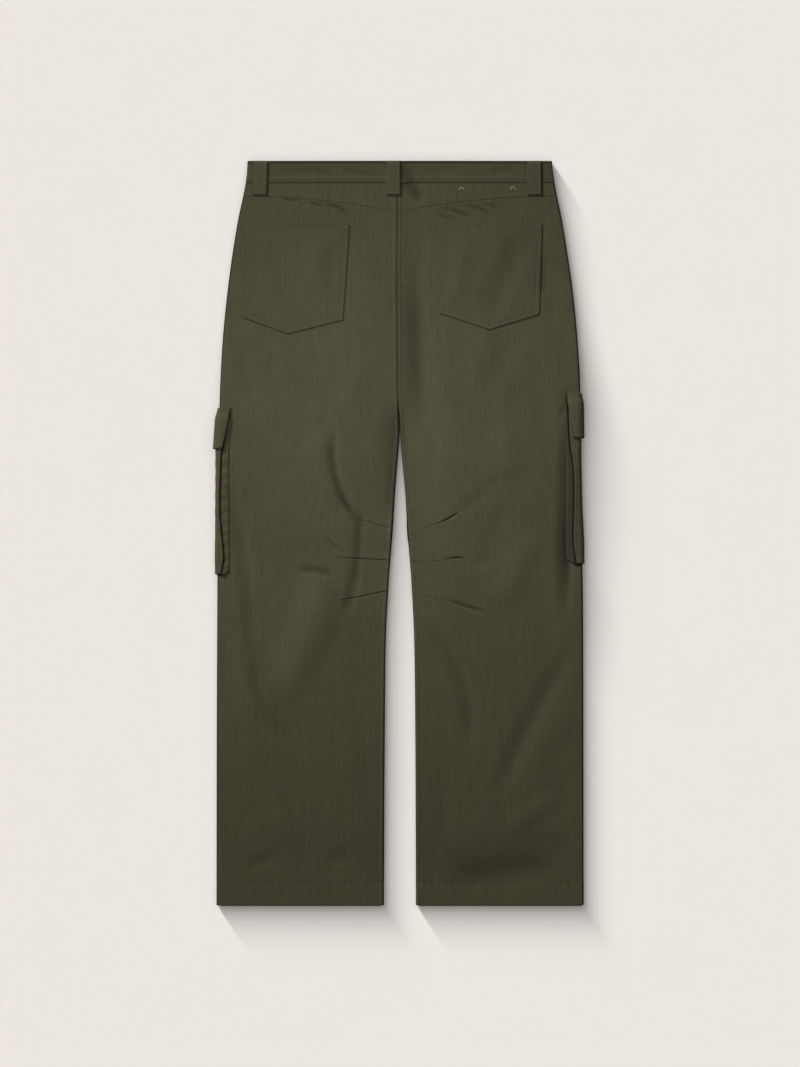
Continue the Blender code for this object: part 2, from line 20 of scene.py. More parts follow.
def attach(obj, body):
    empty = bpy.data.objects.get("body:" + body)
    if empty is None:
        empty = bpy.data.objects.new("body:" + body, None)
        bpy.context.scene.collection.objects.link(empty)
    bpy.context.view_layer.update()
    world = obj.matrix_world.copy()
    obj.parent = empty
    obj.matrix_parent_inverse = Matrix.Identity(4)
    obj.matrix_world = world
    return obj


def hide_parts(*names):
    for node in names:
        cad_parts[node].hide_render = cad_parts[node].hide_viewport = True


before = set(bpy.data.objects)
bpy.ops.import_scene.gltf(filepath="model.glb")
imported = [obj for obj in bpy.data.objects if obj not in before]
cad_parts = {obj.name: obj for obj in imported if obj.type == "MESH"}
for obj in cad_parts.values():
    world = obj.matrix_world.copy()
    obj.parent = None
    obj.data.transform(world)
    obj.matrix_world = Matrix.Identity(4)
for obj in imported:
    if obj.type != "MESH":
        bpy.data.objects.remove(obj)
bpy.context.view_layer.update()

# %% [markdown]
# ## The sizes of the pattern
#
# Everything hangs on a few measurements, in metres: +Y runs from hem to waist, +X to the right
# and +Z up from the table. A tailor writes a leg down as widths at several heights, so the
# outline is a short table of sections, and a smooth curve is read through its rows.

# %% Driving sizes
HALF_LENGTH = 0.540
CLOTH = 0.0012
BAND_WALL = 0.0018
LOOP_WALL = 0.0015
FLAP_WALL = 0.0020
GUSSET_WALL = 0.0010
GAP = 0.0003
SEAM_GAP = GAP / 2
LAY_GAP = 0.0004
ROLL, ROLL_WALL = 0.0032, 0.0005
EDGE_FADE = 0.022
SEAM_SINK = 0.0006
CROTCH_TOP, CROTCH_END = 0.205, 0.160
BAND_HEIGHT = 0.0322
BAND_SEAM = HALF_LENGTH - BAND_HEIGHT
FRONT_DIP = 0.014
YOKE_SIDE, YOKE_CENTRE, YOKE_CURVE = 0.4882, 0.4654, 2.0
HEM_CORNER, HEM_CORNER_REACH = 0.0012, 0.006
HEM_TURN = 0.033
FLY_LEFT, FLY_RIGHT, FLY_BOTTOM, FLY_CURVE = -0.040, 0.004, 0.326, 0.040
TAB_END, TAB_RISE, TAB_RAMP = 0.020, 0.0021, 0.034
BUTTON_RADIUS, BUTTON_THICK = 0.0085, 0.0020
LEFT, RIGHT = -1, 1

Section = namedtuple("Section", "height left_side left_inner right_inner right_side")
SECTIONS = (
    Section(0.540, -0.2192, -0.0021, -0.0018, 0.2222),
    Section(0.509, -0.2218, -0.0021, -0.0018, 0.2257),
    Section(0.454, -0.2331, -0.0022, -0.0019, 0.2367),
    Section(0.396, -0.2425, -0.0024, -0.0021, 0.2461),
    Section(0.338, -0.2498, -0.0024, -0.0021, 0.2539),
    Section(0.281, -0.2553, -0.0021, -0.0018, 0.2592),
    Section(0.223, -0.2587, -0.0016, -0.0013, 0.2629),
    Section(0.190, -0.2598, -0.0008, -0.0005, 0.2626),
    Section(0.153, -0.2606, 0.0012, 0.0018, 0.2620),
    Section(0.121, -0.2612, -0.0004, 0.0038, 0.2618),
    Section(0.049, -0.2620, -0.0061, 0.0101, 0.2632),
    Section(-0.030, -0.2624, -0.0117, 0.0157, 0.2652),
    Section(-0.067, -0.2629, -0.0143, 0.0181, 0.2668),
    Section(-0.153, -0.2634, -0.0187, 0.0223, 0.2674),
    Section(-0.298, -0.2640, -0.0203, 0.0240, 0.2677),
    Section(-0.540, -0.2643, -0.0216, 0.0249, 0.2681),
)
Stack = namedtuple("Stack", "height thick crown")
STACKS = (
    Stack(0.540, 0.0070, 0.0024),
    Stack(0.480, 0.0068, 0.0022),
    Stack(0.400, 0.0060, 0.0012),
    Stack(0.230, 0.0056, 0.0000),
    Stack(-0.540, 0.0054, 0.0000),
)


def smooth(share):
    """0 to 1 with soft ends."""
    share = np.clip(share, 0.0, 1.0)
    return share * share * (3 - 2 * share)


def mix(a, b, share):
    return a + (b - a) * share


def bell(value, reach):
    """1 at 0, falling away on both sides like a bell."""
    return np.exp(-((value / reach) ** 2))


def fade(value, reach):
    """1 at 0, falling softly to 0 at reach."""
    return 1 - smooth(value / reach)


def quarter(distance, radius):
    """Height of a quarter round: 0 at the edge and 1 from radius inwards."""
    return np.sqrt(np.clip(1 - (1 - np.clip(distance / radius, 0, 1)) ** 2, 0, 1))


def round_steps(radius, degrees=(0, 25, 50, 75, 90)):
    """Insets that step evenly round a rounded edge."""
    return radius * (1 - np.cos(np.radians(degrees)))


def closest(values, wanted):
    """Index of the value nearest to the one wanted."""
    return int(np.argmin(np.abs(values - wanted)))


def read(rows, at):
    """The rows of a table at these places, on a smooth curve through its rows."""
    table = np.array(rows, float)
    table = table[np.argsort(table[:, 0])]
    keys = table[:, 0]
    at = np.clip(np.asarray(at, float), keys[0], keys[-1])
    low = np.maximum(np.arange(len(keys)) - 1, 0)
    high = np.minimum(np.arange(len(keys)) + 1, len(keys) - 1)
    slopes = (table[high] - table[low]) / (keys[high] - keys[low])[:, None]
    k = np.clip(np.searchsorted(keys, at, side="right") - 1, 0, len(keys) - 2)
    span = keys[k + 1] - keys[k]
    t = (at - keys[k]) / span
    values = []
    for column in range(table.shape[1]):
        values.append(
            (1 + 2 * t) * (1 - t) ** 2 * table[k, column]
            + t * (1 - t) ** 2 * span * slopes[k, column]
            + t * t * (3 - 2 * t) * table[k + 1, column]
            + t * t * (t - 1) * span * slopes[k + 1, column]
        )
    return type(rows[0])(*values)


def edges(side, y):
    """x of the side seam's edge and of the inner edge of a leg."""
    row = read(SECTIONS, y)
    return (row.left_side, row.left_inner) if side == LEFT else (row.right_side, row.right_inner)


print("waist laid flat", round(SECTIONS[0].right_side - SECTIONS[0].left_side, 4), "m")

# %% [markdown]
# ## What holds the cloth up
#
# Nothing floats. The bellows pockets wrap round the sides, so the legs lie higher there, and the
# front of the waist rests on belt loops, fly and button. A small table says what lies where and
# how thick it is, and the panels climb softly over it.

# %% Pockets, loops and what they lift
Cargo = namedtuple("Cargo", "side flap_top flap_bottom bag_top bag_bottom inner")
CARGOS = {
    "left": Cargo(LEFT, 0.182, 0.122, 0.166, -0.0590, 0.160),
    "right": Cargo(RIGHT, 0.204, 0.138, 0.187, -0.0435, 0.160),
}
GUSSET_STRIP, GUSSET_MARGIN, FLAP_MARGIN = 0.020, 0.006, 0.004
CARGO_INNER, CARGO_OUTER, CARGO_FADE = 0.082, 0.320, 0.026
FACE_OUT = 2 * GAP + GUSSET_WALL + CLOTH
FLAP_RISE = GAP + FLAP_WALL

Under = namedtuple("Under", "x1 x2 y1 y2 rise fade wraps")


def things_underneath():
    rows = []
    for cargo in CARGOS.values():
        x1, x2 = sorted((CARGO_OUTER * cargo.side, CARGO_INNER * cargo.side))
        low = cargo.bag_bottom - GUSSET_MARGIN
        rows.append(Under(x1, x2, low, cargo.bag_top, FACE_OUT, CARGO_FADE, True))
        rows.append(Under(x1, x2, cargo.flap_bottom, cargo.flap_top, FLAP_RISE, CARGO_FADE, True))
    rows.append(Under(-0.190, 0.190, 0.440, HALF_LENGTH, LOOP_WALL + GAP, 0.045, False))
    fly_low, button_low = FLY_BOTTOM - 0.014, BAND_SEAM - FRONT_DIP - 0.002
    rows.append(Under(FLY_LEFT - 0.012, FLY_RIGHT + 0.004, fly_low, BAND_SEAM, CLOTH + GAP, 0.030, False))
    rows.append(Under(-0.022, 0.022, button_low, HALF_LENGTH, BUTTON_THICK + GAP, 0.030, False))
    return rows


UNDERNEATH = things_underneath()


def inside(value, low, high, fade):
    """1 between low and high, falling softly to 0 over fade outside them."""
    beyond = np.maximum(np.maximum(low - value, value - high), 0.0)
    return smooth(1 - beyond / fade)


def lift(x, y, wraps_only=False):
    """How high things underneath hold the lower layer, or with wraps_only the whole leg."""
    stacked, highest = 0.0 * x * y, 0.0 * x * y
    for row in UNDERNEATH:
        rise = row.rise * inside(x, row.x1, row.x2, row.fade) * inside(y, row.y1, row.y2, row.fade)
        if row.wraps:
            stacked = stacked + rise
        elif not wraps_only:
            highest = np.maximum(highest, rise)
    return stacked + highest


SLOPE_X, SLOPE_Y = 0.060, 0.170


def upper_lift(x, y):
    """The upper layer, which is looser, climbs over the pockets on long soft slopes."""
    total = 0.0 * x * y
    for row in UNDERNEATH:
        if row.wraps:
            total = total + row.rise * inside(x, row.x1, row.x2, SLOPE_X) * inside(y, row.y1, row.y2, SLOPE_Y)
    return total


def front_dip(x, y):
    """The front waist is cut lower in the middle than the back."""
    return FRONT_DIP * np.maximum(0.0, 1 - (x / np.abs(read(SECTIONS, y).left_side)) ** 2)


# %% [markdown]
# ## Folds, creases and darts
#
# Cloth that has been pressed and laid out keeps soft folds a centimetre or two wide, narrow
# creases where a seam pulls, and at the knees three sewn darts in each leg. Sculpting by hand
# would do, but then no number could be changed later. A table of creases is kept instead: each
# runs from one place to another, bowed a little, and is a trough or a ridge with soft ends.
# `shade` is how much light its bottom loses, because a real crease is finer than our mesh. A
# negative shade lightens the cloth.

# %% The table of folds and creases
Crease = namedtuple("Crease", "x1 y1 x2 y2 bow rise reach shade")
FOLDS = (  # broad and soft, along the whole leg
    # left thigh and knee: a long fold runs down past the darts and swings out over the shin
    Crease(-0.0945, 0.158, -0.0500, 0.006, 0.0195, -0.0022, 0.0120, 0.52),
    Crease(-0.1180, 0.165, -0.0780, 0.030, 0.0110, 0.0018, 0.0300, 0),
    Crease(-0.0560, 0.044, -0.0630, -0.076, -0.0010, -0.0016, 0.0110, 0.38),
    Crease(-0.0620, -0.042, -0.0800, -0.125, -0.0030, -0.0015, 0.0130, 0.24),
    Crease(-0.0740, -0.092, -0.1660, -0.256, -0.0100, -0.0005, 0.0240, 0.07),
    Crease(-0.0950, -0.040, -0.2000, -0.270, -0.0110, 0.0019, 0.0480, 0),
    # the next two rows are mostly painted light, lightening the knee and the outer calf
    Crease(-0.1180, -0.020, -0.1780, -0.268, -0.0040, 0.0005, 0.0580, -0.28),
    Crease(-0.2400, -0.110, -0.2150, -0.290, 0.0000, 0.0005, 0.0300, -0.07),
    Crease(-0.2480, 0.078, -0.2140, -0.190, -0.0080, -0.0024, 0.0165, 0.18),
    Crease(-0.2130, -0.165, -0.1350, -0.320, 0.0220, -0.0018, 0.0160, 0.11),
    Crease(-0.0050, 0.212, -0.0110, 0.004, 0.0000, -0.0027, 0.0330, 0.56),
    Crease(-0.0165, -0.006, -0.0175, -0.032, 0.0000, -0.0009, 0.0065, 0.25),
    Crease(-0.2250, 0.280, -0.2220, 0.185, 0.0000, -0.0009, 0.0200, 0.04),
    # seat: the right half falls away beside the seam
    Crease(0.0190, 0.490, 0.0200, 0.140, 0.0000, -0.0017, 0.0280, 0.16),
    Crease(0.0200, 0.370, 0.0300, 0.140, 0.0000, -0.0006, 0.0280, 0.24),
    Crease(0.0050, 0.516, 0.0360, 0.480, 0.0000, -0.0010, 0.0190, 0.46),
    # back pockets
    Crease(-0.0980, 0.430, -0.0960, 0.330, 0.0000, -0.0012, 0.0130, 0.06),
    Crease(-0.1260, 0.430, -0.1180, 0.340, 0.0000, 0.0010, 0.0180, 0),
    Crease(0.1880, 0.448, 0.1220, 0.296, 0.0040, -0.0017, 0.0290, 0.14),
    Crease(0.0960, 0.438, 0.0800, 0.325, 0.0000, 0.0014, 0.0240, 0),
    Crease(0.2120, 0.405, 0.2100, 0.340, 0.0000, -0.0010, 0.0110, 0.10),
    # right thigh
    Crease(0.1520, 0.300, 0.1280, 0.190, 0.0000, -0.0013, 0.0280, 0.09),
    Crease(0.1850, 0.290, 0.1760, 0.200, 0.0000, 0.0008, 0.0240, 0),
    Crease(0.0800, 0.0265, 0.1580, 0.092, 0.0030, -0.0008, 0.0150, 0.07),
    Crease(0.1500, 0.160, 0.1660, 0.075, 0.0000, 0.0014, 0.0260, 0),
    # a real ridge, lightened further with painted light
    Crease(0.1980, 0.016, 0.1380, -0.118, 0.0000, 0.0017, 0.0330, -0.09),
    Crease(0.1560, 0.050, 0.1110, -0.075, 0.0000, -0.0009, 0.0200, 0.05),
    # the deep valley along the right bellows pocket
    Crease(0.2480, 0.185, 0.2410, -0.095, 0.0020, -0.0028, 0.0170, 0.62),
    Crease(0.2450, 0.050, 0.2390, -0.135, 0.0000, -0.0018, 0.0150, 0.34),
    # right shin
    Crease(0.0280, -0.126, 0.1020, -0.325, -0.0275, -0.0019, 0.0175, 0.14),
    Crease(0.2560, -0.156, 0.1340, -0.398, 0.0070, -0.0018, 0.0210, 0.15),
    Crease(0.2720, -0.215, 0.1780, -0.420, 0.0160, 0.0010, 0.0360, 0),
    Crease(0.2380, -0.372, 0.1480, -0.438, 0.0000, 0.0013, 0.0240, 0),
    Crease(0.0500, -0.498, 0.2480, -0.468, 0.0000, -0.0017, 0.0430, 0.36),
    # above the left hem
    Crease(-0.2200, -0.480, -0.1780, -0.470, 0.0000, -0.0012, 0.0150, 0.12),
    Crease(-0.1050, -0.474, -0.0650, -0.465, 0.0000, -0.0012, 0.0170, 0.12),
)
BACK_CREASES = (  # narrow ones, mostly where a seam pulls
    Crease(-0.0860, 0.058, -0.0560, 0.0220, 0.003, -0.0008, 0.0034, 0.34),
    Crease(-0.1060, -0.0040, -0.0760, -0.0300, 0.002, -0.0010, 0.0045, 0.36),
    Crease(-0.1500, -0.0490, -0.0900, -0.0600, 0.000, -0.0018, 0.0090, 0.42),
    Crease(-0.1060, -0.0850, -0.0830, -0.0862, 0.000, -0.0004, 0.0030, 0.16),
    Crease(-0.0960, -0.0930, -0.0740, -0.0872, 0.001, -0.0007, 0.0024, 0.45),
    # shade under the edges of the bellows flaps
    Crease(-0.2425, 0.1900, -0.2545, 0.1080, 0.0000, -0.0007, 0.0050, 1.00),
    Crease(0.2420, 0.2160, 0.2500, 0.1240, 0.0000, -0.0009, 0.0065, 1.00),
    Crease(0.2440, 0.190, 0.2310, 0.166, 0.000, -0.0011, 0.0042, 0.40),
    # at the tips of the right darts
    Crease(0.0600, 0.0153, 0.0880, 0.0315, 0.001, -0.0009, 0.0026, 0.55),
    Crease(0.0660, -0.0375, 0.0990, -0.0350, -0.001, -0.0009, 0.0026, 0.60),
    Crease(0.0720, -0.0965, 0.1300, -0.1145, 0.0015, -0.0013, 0.0042, 0.46),
    Crease(0.0900, -0.0650, 0.1450, -0.0500, 0.000, 0.0006, 0.0160, 0),
    # below the yoke seams
    Crease(0.0640, 0.4730, 0.1080, 0.4570, -0.001, -0.0014, 0.0044, 0.60),
    Crease(0.0960, 0.4770, 0.1390, 0.4610, -0.001, -0.0013, 0.0042, 0.60),
    Crease(0.1210, 0.4795, 0.1480, 0.4705, 0.000, -0.0008, 0.0036, 0.40),
    Crease(0.0540, 0.4640, 0.0900, 0.4500, 0.000, -0.0010, 0.0060, 0.26),
    Crease(-0.1700, 0.4850, -0.1400, 0.4810, 0.000, -0.0009, 0.0030, 0.46),
    Crease(-0.1320, 0.4805, -0.1040, 0.4735, 0.000, -0.0011, 0.0038, 0.50),
    Crease(-0.1060, 0.4775, -0.0740, 0.4680, 0.000, -0.0013, 0.0050, 0.50),
    Crease(-0.0900, 0.4710, -0.0640, 0.4590, 0.000, -0.0008, 0.0070, 0.28),
    # nearly flat ones: broad patches of painted shade and painted light, darker or lighter
    Crease(-0.2550, 0.235, -0.0700, 0.225, 0.000, -0.0003, 0.0850, 0.07),
    Crease(-0.1900, 0.465, -0.0200, 0.440, 0.000, -0.0002, 0.0450, 0.07),
    Crease(0.0700, 0.345, 0.0850, 0.140, 0.000, -0.0003, 0.0550, 0.08),
    Crease(0.1500, 0.310, 0.1700, 0.160, 0.000, -0.0003, 0.0420, 0.10),
    Crease(-0.2400, 0.060, -0.2400, -0.370, 0.000, 0.0001, 0.0700, -0.13),
    Crease(-0.1900, -0.030, -0.1800, -0.220, 0.000, 0.0001, 0.0400, -0.12),
    Crease(0.2350, -0.040, 0.2350, -0.240, 0.000, 0.0001, 0.0500, -0.10),
    Crease(0.0000, 0.420, 0.0000, 0.140, 0.000, -0.0001, 0.0700, 0.12),
    Crease(-0.0400, -0.260, -0.0400, -0.560, 0.000, -0.0001, 0.0500, 0.08),
    Crease(0.0450, -0.240, 0.0450, -0.560, 0.000, -0.0001, 0.0500, 0.07),
    Crease(-0.2900, -0.455, 0.2900, -0.455, 0.000, -0.0001, 0.0750, 0.09),
    Crease(0.1100, -0.160, 0.2600, -0.115, 0.000, 0.0002, 0.0500, -0.06),
    Crease(0.1700, -0.436, 0.2660, -0.456, 0.000, -0.0008, 0.0300, 0.14),
    # small soft unevenness
    Crease(-0.1900, 0.410, -0.1450, 0.340, 0.003, -0.0006, 0.0160, 0),
    Crease(-0.0600, 0.420, -0.0380, 0.330, 0.004, 0.0006, 0.0200, 0),
    Crease(-0.1600, 0.270, -0.1500, 0.130, 0.005, 0.0007, 0.0240, 0),
    Crease(-0.0700, 0.270, -0.0950, 0.190, 0.000, -0.0006, 0.0200, 0),
    Crease(0.1000, 0.270, 0.1150, 0.150, -0.004, 0.0006, 0.0220, 0),
    Crease(0.0560, 0.180, 0.0500, 0.070, 0.000, -0.0006, 0.0140, 0),
    Crease(0.2050, 0.260, 0.2150, 0.120, 0.003, -0.0006, 0.0180, 0),
    Crease(0.2160, 0.400, 0.2280, 0.280, 0.000, -0.0006, 0.0140, 0),
    Crease(-0.1650, -0.060, -0.1900, -0.120, 0.004, -0.0006, 0.0130, 0),
    Crease(-0.1900, -0.340, -0.1500, -0.460, 0.003, 0.0007, 0.0220, 0),
    Crease(-0.0550, -0.260, -0.0450, -0.400, 0.000, -0.0007, 0.0180, 0),
    Crease(0.0600, -0.360, 0.0700, -0.450, 0.000, -0.0007, 0.0180, 0),
)
FRONT_CREASES = (  # shallow hollows in the layer that rests on the table
    Crease(-0.0450, 0.2500, -0.1250, 0.1550, 0.004, 0.0007, 0.0140, 0.06),
    Crease(-0.0350, 0.2150, -0.0950, 0.0900, 0.006, 0.0006, 0.0110, 0.06),
    Crease(-0.0500, -0.0300, -0.1500, -0.0700, 0.003, 0.0006, 0.0120, 0.06),
    Crease(-0.2000, -0.1700, -0.1100, -0.2500, 0.004, 0.0007, 0.0160, 0.05),
    Crease(0.0450, 0.2450, 0.1150, 0.1500, -0.004, 0.0007, 0.0130, 0.06),
    Crease(0.0350, 0.1900, 0.0850, 0.0850, -0.005, 0.0006, 0.0110, 0.06),
    Crease(0.0550, -0.0200, 0.1450, -0.0850, 0.002, 0.0007, 0.0130, 0.06),
    Crease(0.2050, -0.2000, 0.1100, -0.3100, 0.005, 0.0006, 0.0160, 0.05),
    Crease(-0.1900, -0.3600, -0.1300, -0.4600, 0.002, 0.0005, 0.0180, 0),
    Crease(0.0800, -0.3800, 0.1300, -0.4700, 0.002, 0.0005, 0.0180, 0),
)
CREASE_TAPER = 0.30


def crease_relief(rows, x, y):
    """Height and shade that a table of creases gives at these places."""
    height, shade = 0.0 * x * y, 0.0 * x * y
    for row in rows:
        dx, dy = row.x2 - row.x1, row.y2 - row.y1
        length = math.hypot(dx, dy)
        t = ((x - row.x1) * dx + (y - row.y1) * dy) / length**2
        across = ((x - row.x1) * dy - (y - row.y1) * dx) / length - row.bow * 4 * t * (1 - t)
        bump = (1 + np.cos(np.pi * np.clip(across / row.reach, -1, 1))) / 2
        ends = smooth(t / CREASE_TAPER) * smooth((1 - t) / CREASE_TAPER)
        height = height + row.rise * bump * ends
        shade = shade + row.shade * bump**2 * ends
    return height, shade


# A dart from the inseam to its tip: where it runs and how deep its groove is there. lip is
# +1 where the cloth above the line stands proud, and -1 where the cloth below it does.
DartPoint = namedtuple("DartPoint", "x y depth")
Dart = namedtuple("Dart", "side lip points")


def dart_points(*rows):
    return tuple(DartPoint(*row) for row in rows)


DARTS = (
    Dart(LEFT, -1, dart_points(
        (-0.0090, 0.0070, 0.6), (-0.0217, 0.0099, 0.9), (-0.0400, 0.0152, 1.0),
        (-0.0593, 0.0209, 0.8), (-0.0804, 0.0242, 0.2), (-0.0880, 0.0250, 0.0),
    )),
    Dart(LEFT, 1, dart_points(
        (-0.0110, -0.0390, 0.7), (-0.0163, -0.0386, 0.9), (-0.0593, -0.0361, 1.0),
        (-0.0830, -0.0347, 0.6), (-0.0960, -0.0342, 0.0),
    )),
    Dart(LEFT, 1, dart_points(
        (-0.0140, -0.0830, 0.6), (-0.0229, -0.0843, 0.9), (-0.0583, -0.0919, 1.0),
        (-0.0830, -0.0960, 0.6), (-0.0960, -0.0978, 0.0),
    )),
    Dart(RIGHT, -1, dart_points(
        (0.0130, 0.0010, 0.2), (0.0244, 0.0035, 0.6), (0.0502, 0.0119, 0.8),
        (0.0706, 0.0203, 1.0), (0.0826, 0.0281, 0.7), (0.0900, 0.0330, 0.0),
    )),
    Dart(RIGHT, -1, dart_points(
        (0.0160, -0.0420, 0.3), (0.0214, -0.0417, 0.5), (0.0586, -0.0406, 0.6),
        (0.0826, -0.0356, 1.0), (0.0935, -0.0354, 0.6), (0.1000, -0.0354, 0.0),
    )),
    Dart(RIGHT, -1, dart_points(
        (0.0190, -0.0890, 0.2), (0.0286, -0.0906, 0.5), (0.0622, -0.0960, 0.5),
        (0.0814, -0.1000, 0.5), (0.0930, -0.1055, 0.0),
    )),
)
DART_DEPTH, DART_REACH = 0.0006, 0.0008
DART_LIP, DART_LIP_REACH = 0.0005, 0.007
DART_SHADE = 0.55


def dart_line(dart, x):
    """Height of a dart's line at x; it runs on level beyond its two ends."""
    order = sorted(dart.points)
    return np.interp(x, [p.x for p in order], [p.y for p in order])


def dart_relief(side, x, y):
    height, shade = 0.0 * x * y, 0.0 * x * y
    for dart in DARTS:
        if dart.side != side:
            continue
        order = sorted(dart.points)
        depth = np.interp(x, [p.x for p in order], [p.depth for p in order])
        above = (y - dart_line(dart, x)) * dart.lip
        groove = bell(above, DART_REACH)
        height = height - DART_DEPTH * depth * groove
        height = height + np.where(above > 0, DART_LIP * depth * np.exp(-above / DART_LIP_REACH), 0)
        shade = shade + DART_SHADE * depth * groove
    return height, shade


print(len(FOLDS) + len(BACK_CREASES) + len(FRONT_CREASES), "creases and", len(DARTS), "darts")

# %% [markdown]
# ## The surface of the two layers
#
# A leg laid flat is a tube pressed shut. The upper layer lies level and rolls over at its edges
# to meet the lower layer half way up. Two functions give the outer face of each layer at any
# place, so every piece that lies on a leg can ask for the cloth below it. The flat seams show
# as low relief: the turned hem, the felled centre seam and its row of stitches.

# %% Height of the upper and the lower layer
FELL_WIDTH, FELL_RISE = 0.0059, 0.0003
STITCH_SINK, STITCH_REACH = 0.00025, 0.0011
HEM_RISE = 0.0002
SINK_MOST = 0.0027
PUCKER, PUCKER_LENGTH = 0.00016, 0.0105


def parted(y):
    """0 above the crotch, where the layers run on past the middle, and 1 along the legs."""
    return smooth((CROTCH_TOP - y) / (CROTCH_TOP - CROTCH_END))


def roll(distance):
    """Height of a leg's rolled edge, 0 at the edge and 1 from ROLL inwards."""
    return quarter(distance, ROLL)


def puckers(along, across, reach):
    """Ripples that a row of stitches draws up, uneven along it."""
    wave = np.sin(2 * np.pi * along / PUCKER_LENGTH)
    wave = wave + 0.7 * np.sin(2 * np.pi * along / (PUCKER_LENGTH * 1.63) + 1.0)
    return PUCKER * wave * bell(across, reach)


def sewn_row(across):
    """The groove that a row of stitches pulls into the cloth."""
    return -STITCH_SINK * bell(across, STITCH_REACH)


def seam_relief(from_inner, y):
    fell = FELL_RISE * smooth((FELL_WIDTH + 0.001 - from_inner) / 0.002)
    fell = fell + sewn_row(from_inner - FELL_WIDTH) + puckers(y, from_inner - FELL_WIDTH, 0.006)
    hem_top = -HALF_LENGTH + HEM_TURN
    hem = HEM_RISE * smooth((hem_top + 0.001 - y) / 0.002) + sewn_row(y - hem_top)
    return fell, hem


def upper_face(side, x, y):
    """z of the upper layer's outer face."""
    outer, inner = edges(side, y)
    row = read(STACKS, y)
    from_side, from_inner = np.abs(x - outer), np.abs(x - inner)
    near_edge = np.where(parted(y) > 0, np.minimum(from_side, from_inner), from_side)
    level = row.thick + row.crown * (1 - (x / outer) ** 2) + upper_lift(x, y)
    relief = crease_relief(FOLDS, x, y)[0] * smooth(near_edge / EDGE_FADE)
    relief = relief + crease_relief(BACK_CREASES, x, y)[0] * smooth(from_side / 0.006)
    relief = np.where(relief < 0, -SINK_MOST * np.tanh(-relief / SINK_MOST), relief)
    level = level + relief + dart_relief(side, x, y)[0]
    fell, hem = seam_relief(from_inner, y)
    level = level + fell + hem + puckers(x, y + HALF_LENGTH - HEM_TURN, 0.008)
    side_low = lift(outer, y, True) + row.thick / 2 + ROLL_WALL
    inner_low = mix(level - SEAM_SINK - FELL_RISE, row.thick / 2 + ROLL_WALL, parted(y))
    level = level - (level - side_low) * (1 - roll(from_side))
    return level - (level - inner_low) * (1 - roll(from_inner))


SIDE_SHADE, SIDE_SHADE_REACH = 1.8, 0.0028
INNER_SHADE = {LEFT: 1.3, RIGHT: 0.9}
INNER_SHADE_REACH = {LEFT: 0.0026, RIGHT: 0.0015}
CLOSED_SHADE, EDGE_REACH = 0.55, 0.0010
HEM_EDGE_SHADE, HEM_ROW_SHADE = 0.5, 0.12
LOWER_SHADE, LOWER_SHADE_REACH = 0.6, 0.0014


def upper_shade(side, x, y):
    """How much light the cloth loses in its creases and along its edges."""
    outer, inner = edges(side, y)
    shade = crease_relief(FOLDS, x, y)[1] + crease_relief(BACK_CREASES, x, y)[1] + dart_relief(side, x, y)[1]
    from_side, from_inner = np.abs(x - outer), np.abs(x - inner)
    shade = shade + SIDE_SHADE * fade(from_side, SIDE_SHADE_REACH)
    open_edge = INNER_SHADE[side] * fade(from_inner - 0.0002, INNER_SHADE_REACH[side])
    closed = CLOSED_SHADE * fade(from_inner, EDGE_REACH)
    shade = shade + mix(closed, open_edge, parted(y))
    shade = shade + HEM_EDGE_SHADE * fade(y + HALF_LENGTH, EDGE_REACH)
    return shade + HEM_ROW_SHADE * bell(y + HALF_LENGTH - HEM_TURN, EDGE_REACH)


def lower_face(side, x, y):
    """z of the lower layer's outer face, which rests on the table."""
    outer, inner = edges(side, y)
    row = read(STACKS, y)
    level = lift(x, y) + crease_relief(FRONT_CREASES, x, y)[0]
    side_high = lift(outer, y, True) + row.thick / 2 - ROLL_WALL
    inner_high = mix(level, row.thick / 2 - ROLL_WALL, parted(y))
    level = level + (side_high - level) * (1 - roll(np.abs(x - outer)))
    return level + (inner_high - level) * (1 - roll(np.abs(x - inner)))


def lower_shade(side, x, y):
    outer, inner = edges(side, y)
    shade = crease_relief(FRONT_CREASES, x, y)[1]
    for edge in (outer, inner):
        shade = shade + LOWER_SHADE * fade(np.abs(x - edge), LOWER_SHADE_REACH)
    return shade


print("the left thigh lies", round(float(upper_face(LEFT, -0.13, 0.2)) * 1000, 1), "mm up")

# %% [markdown]
# ## The olive twill
#
# The cloth is a heavy cotton twill, dyed olive after weaving and washed. Close to, fine diagonal
# ribs run across it, the yarns are uneven, so faint streaks run down each piece, and the dye is
# a little cloudy. A picture of cloth would tile and blur, so the finish is worked out by nodes
# from each piece's own flat map, which is in metres: streaks, clouds and ribs keep their real
# size and follow the grain. `shade` darkens the bottoms of creases and the pressed edges.

# %% Material of the cloth and its thread
TWILL_COLOUR = (0.0700, 0.0632, 0.0350)
# BAND_COLOUR and POCKET_COLOUR are the same twill a touch darker: painted shade on the waistband and the
# pockets
BAND_COLOUR = (0.0670, 0.0605, 0.0338)
POCKET_COLOUR = (0.0690, 0.0622, 0.0346)
THREAD_COLOUR = (0.1500, 0.1370, 0.0900)
TACK_COLOUR = (0.3200, 0.2950, 0.2100)
HEM_THREAD_COLOUR = (0.0980, 0.0890, 0.0550)
RIB_PITCH = 0.00085


def node_maker(tree):
    def node(kind, **inputs):
        made = tree.nodes.new(kind)
        for name, value in inputs.items():
            numbered = name[0] == "i" and name[1:].isdigit()
            socket = made.inputs[int(name[1:]) if numbered else name.replace("_", " ")]
            if isinstance(value, bpy.types.NodeSocket):
                tree.links.new(value, socket)
            else:
                socket.default_value = value
        return made

    return node


def new_material(name):
    made = bpy.data.materials.new(name)
    made.use_nodes = True
    made.node_tree.nodes.clear()
    return made, node_maker(made.node_tree)


def maths(node, operation, a, b=0.0):
    made = node("ShaderNodeMath", i0=a, i1=b)
    made.operation = operation
    return made.outputs[0]


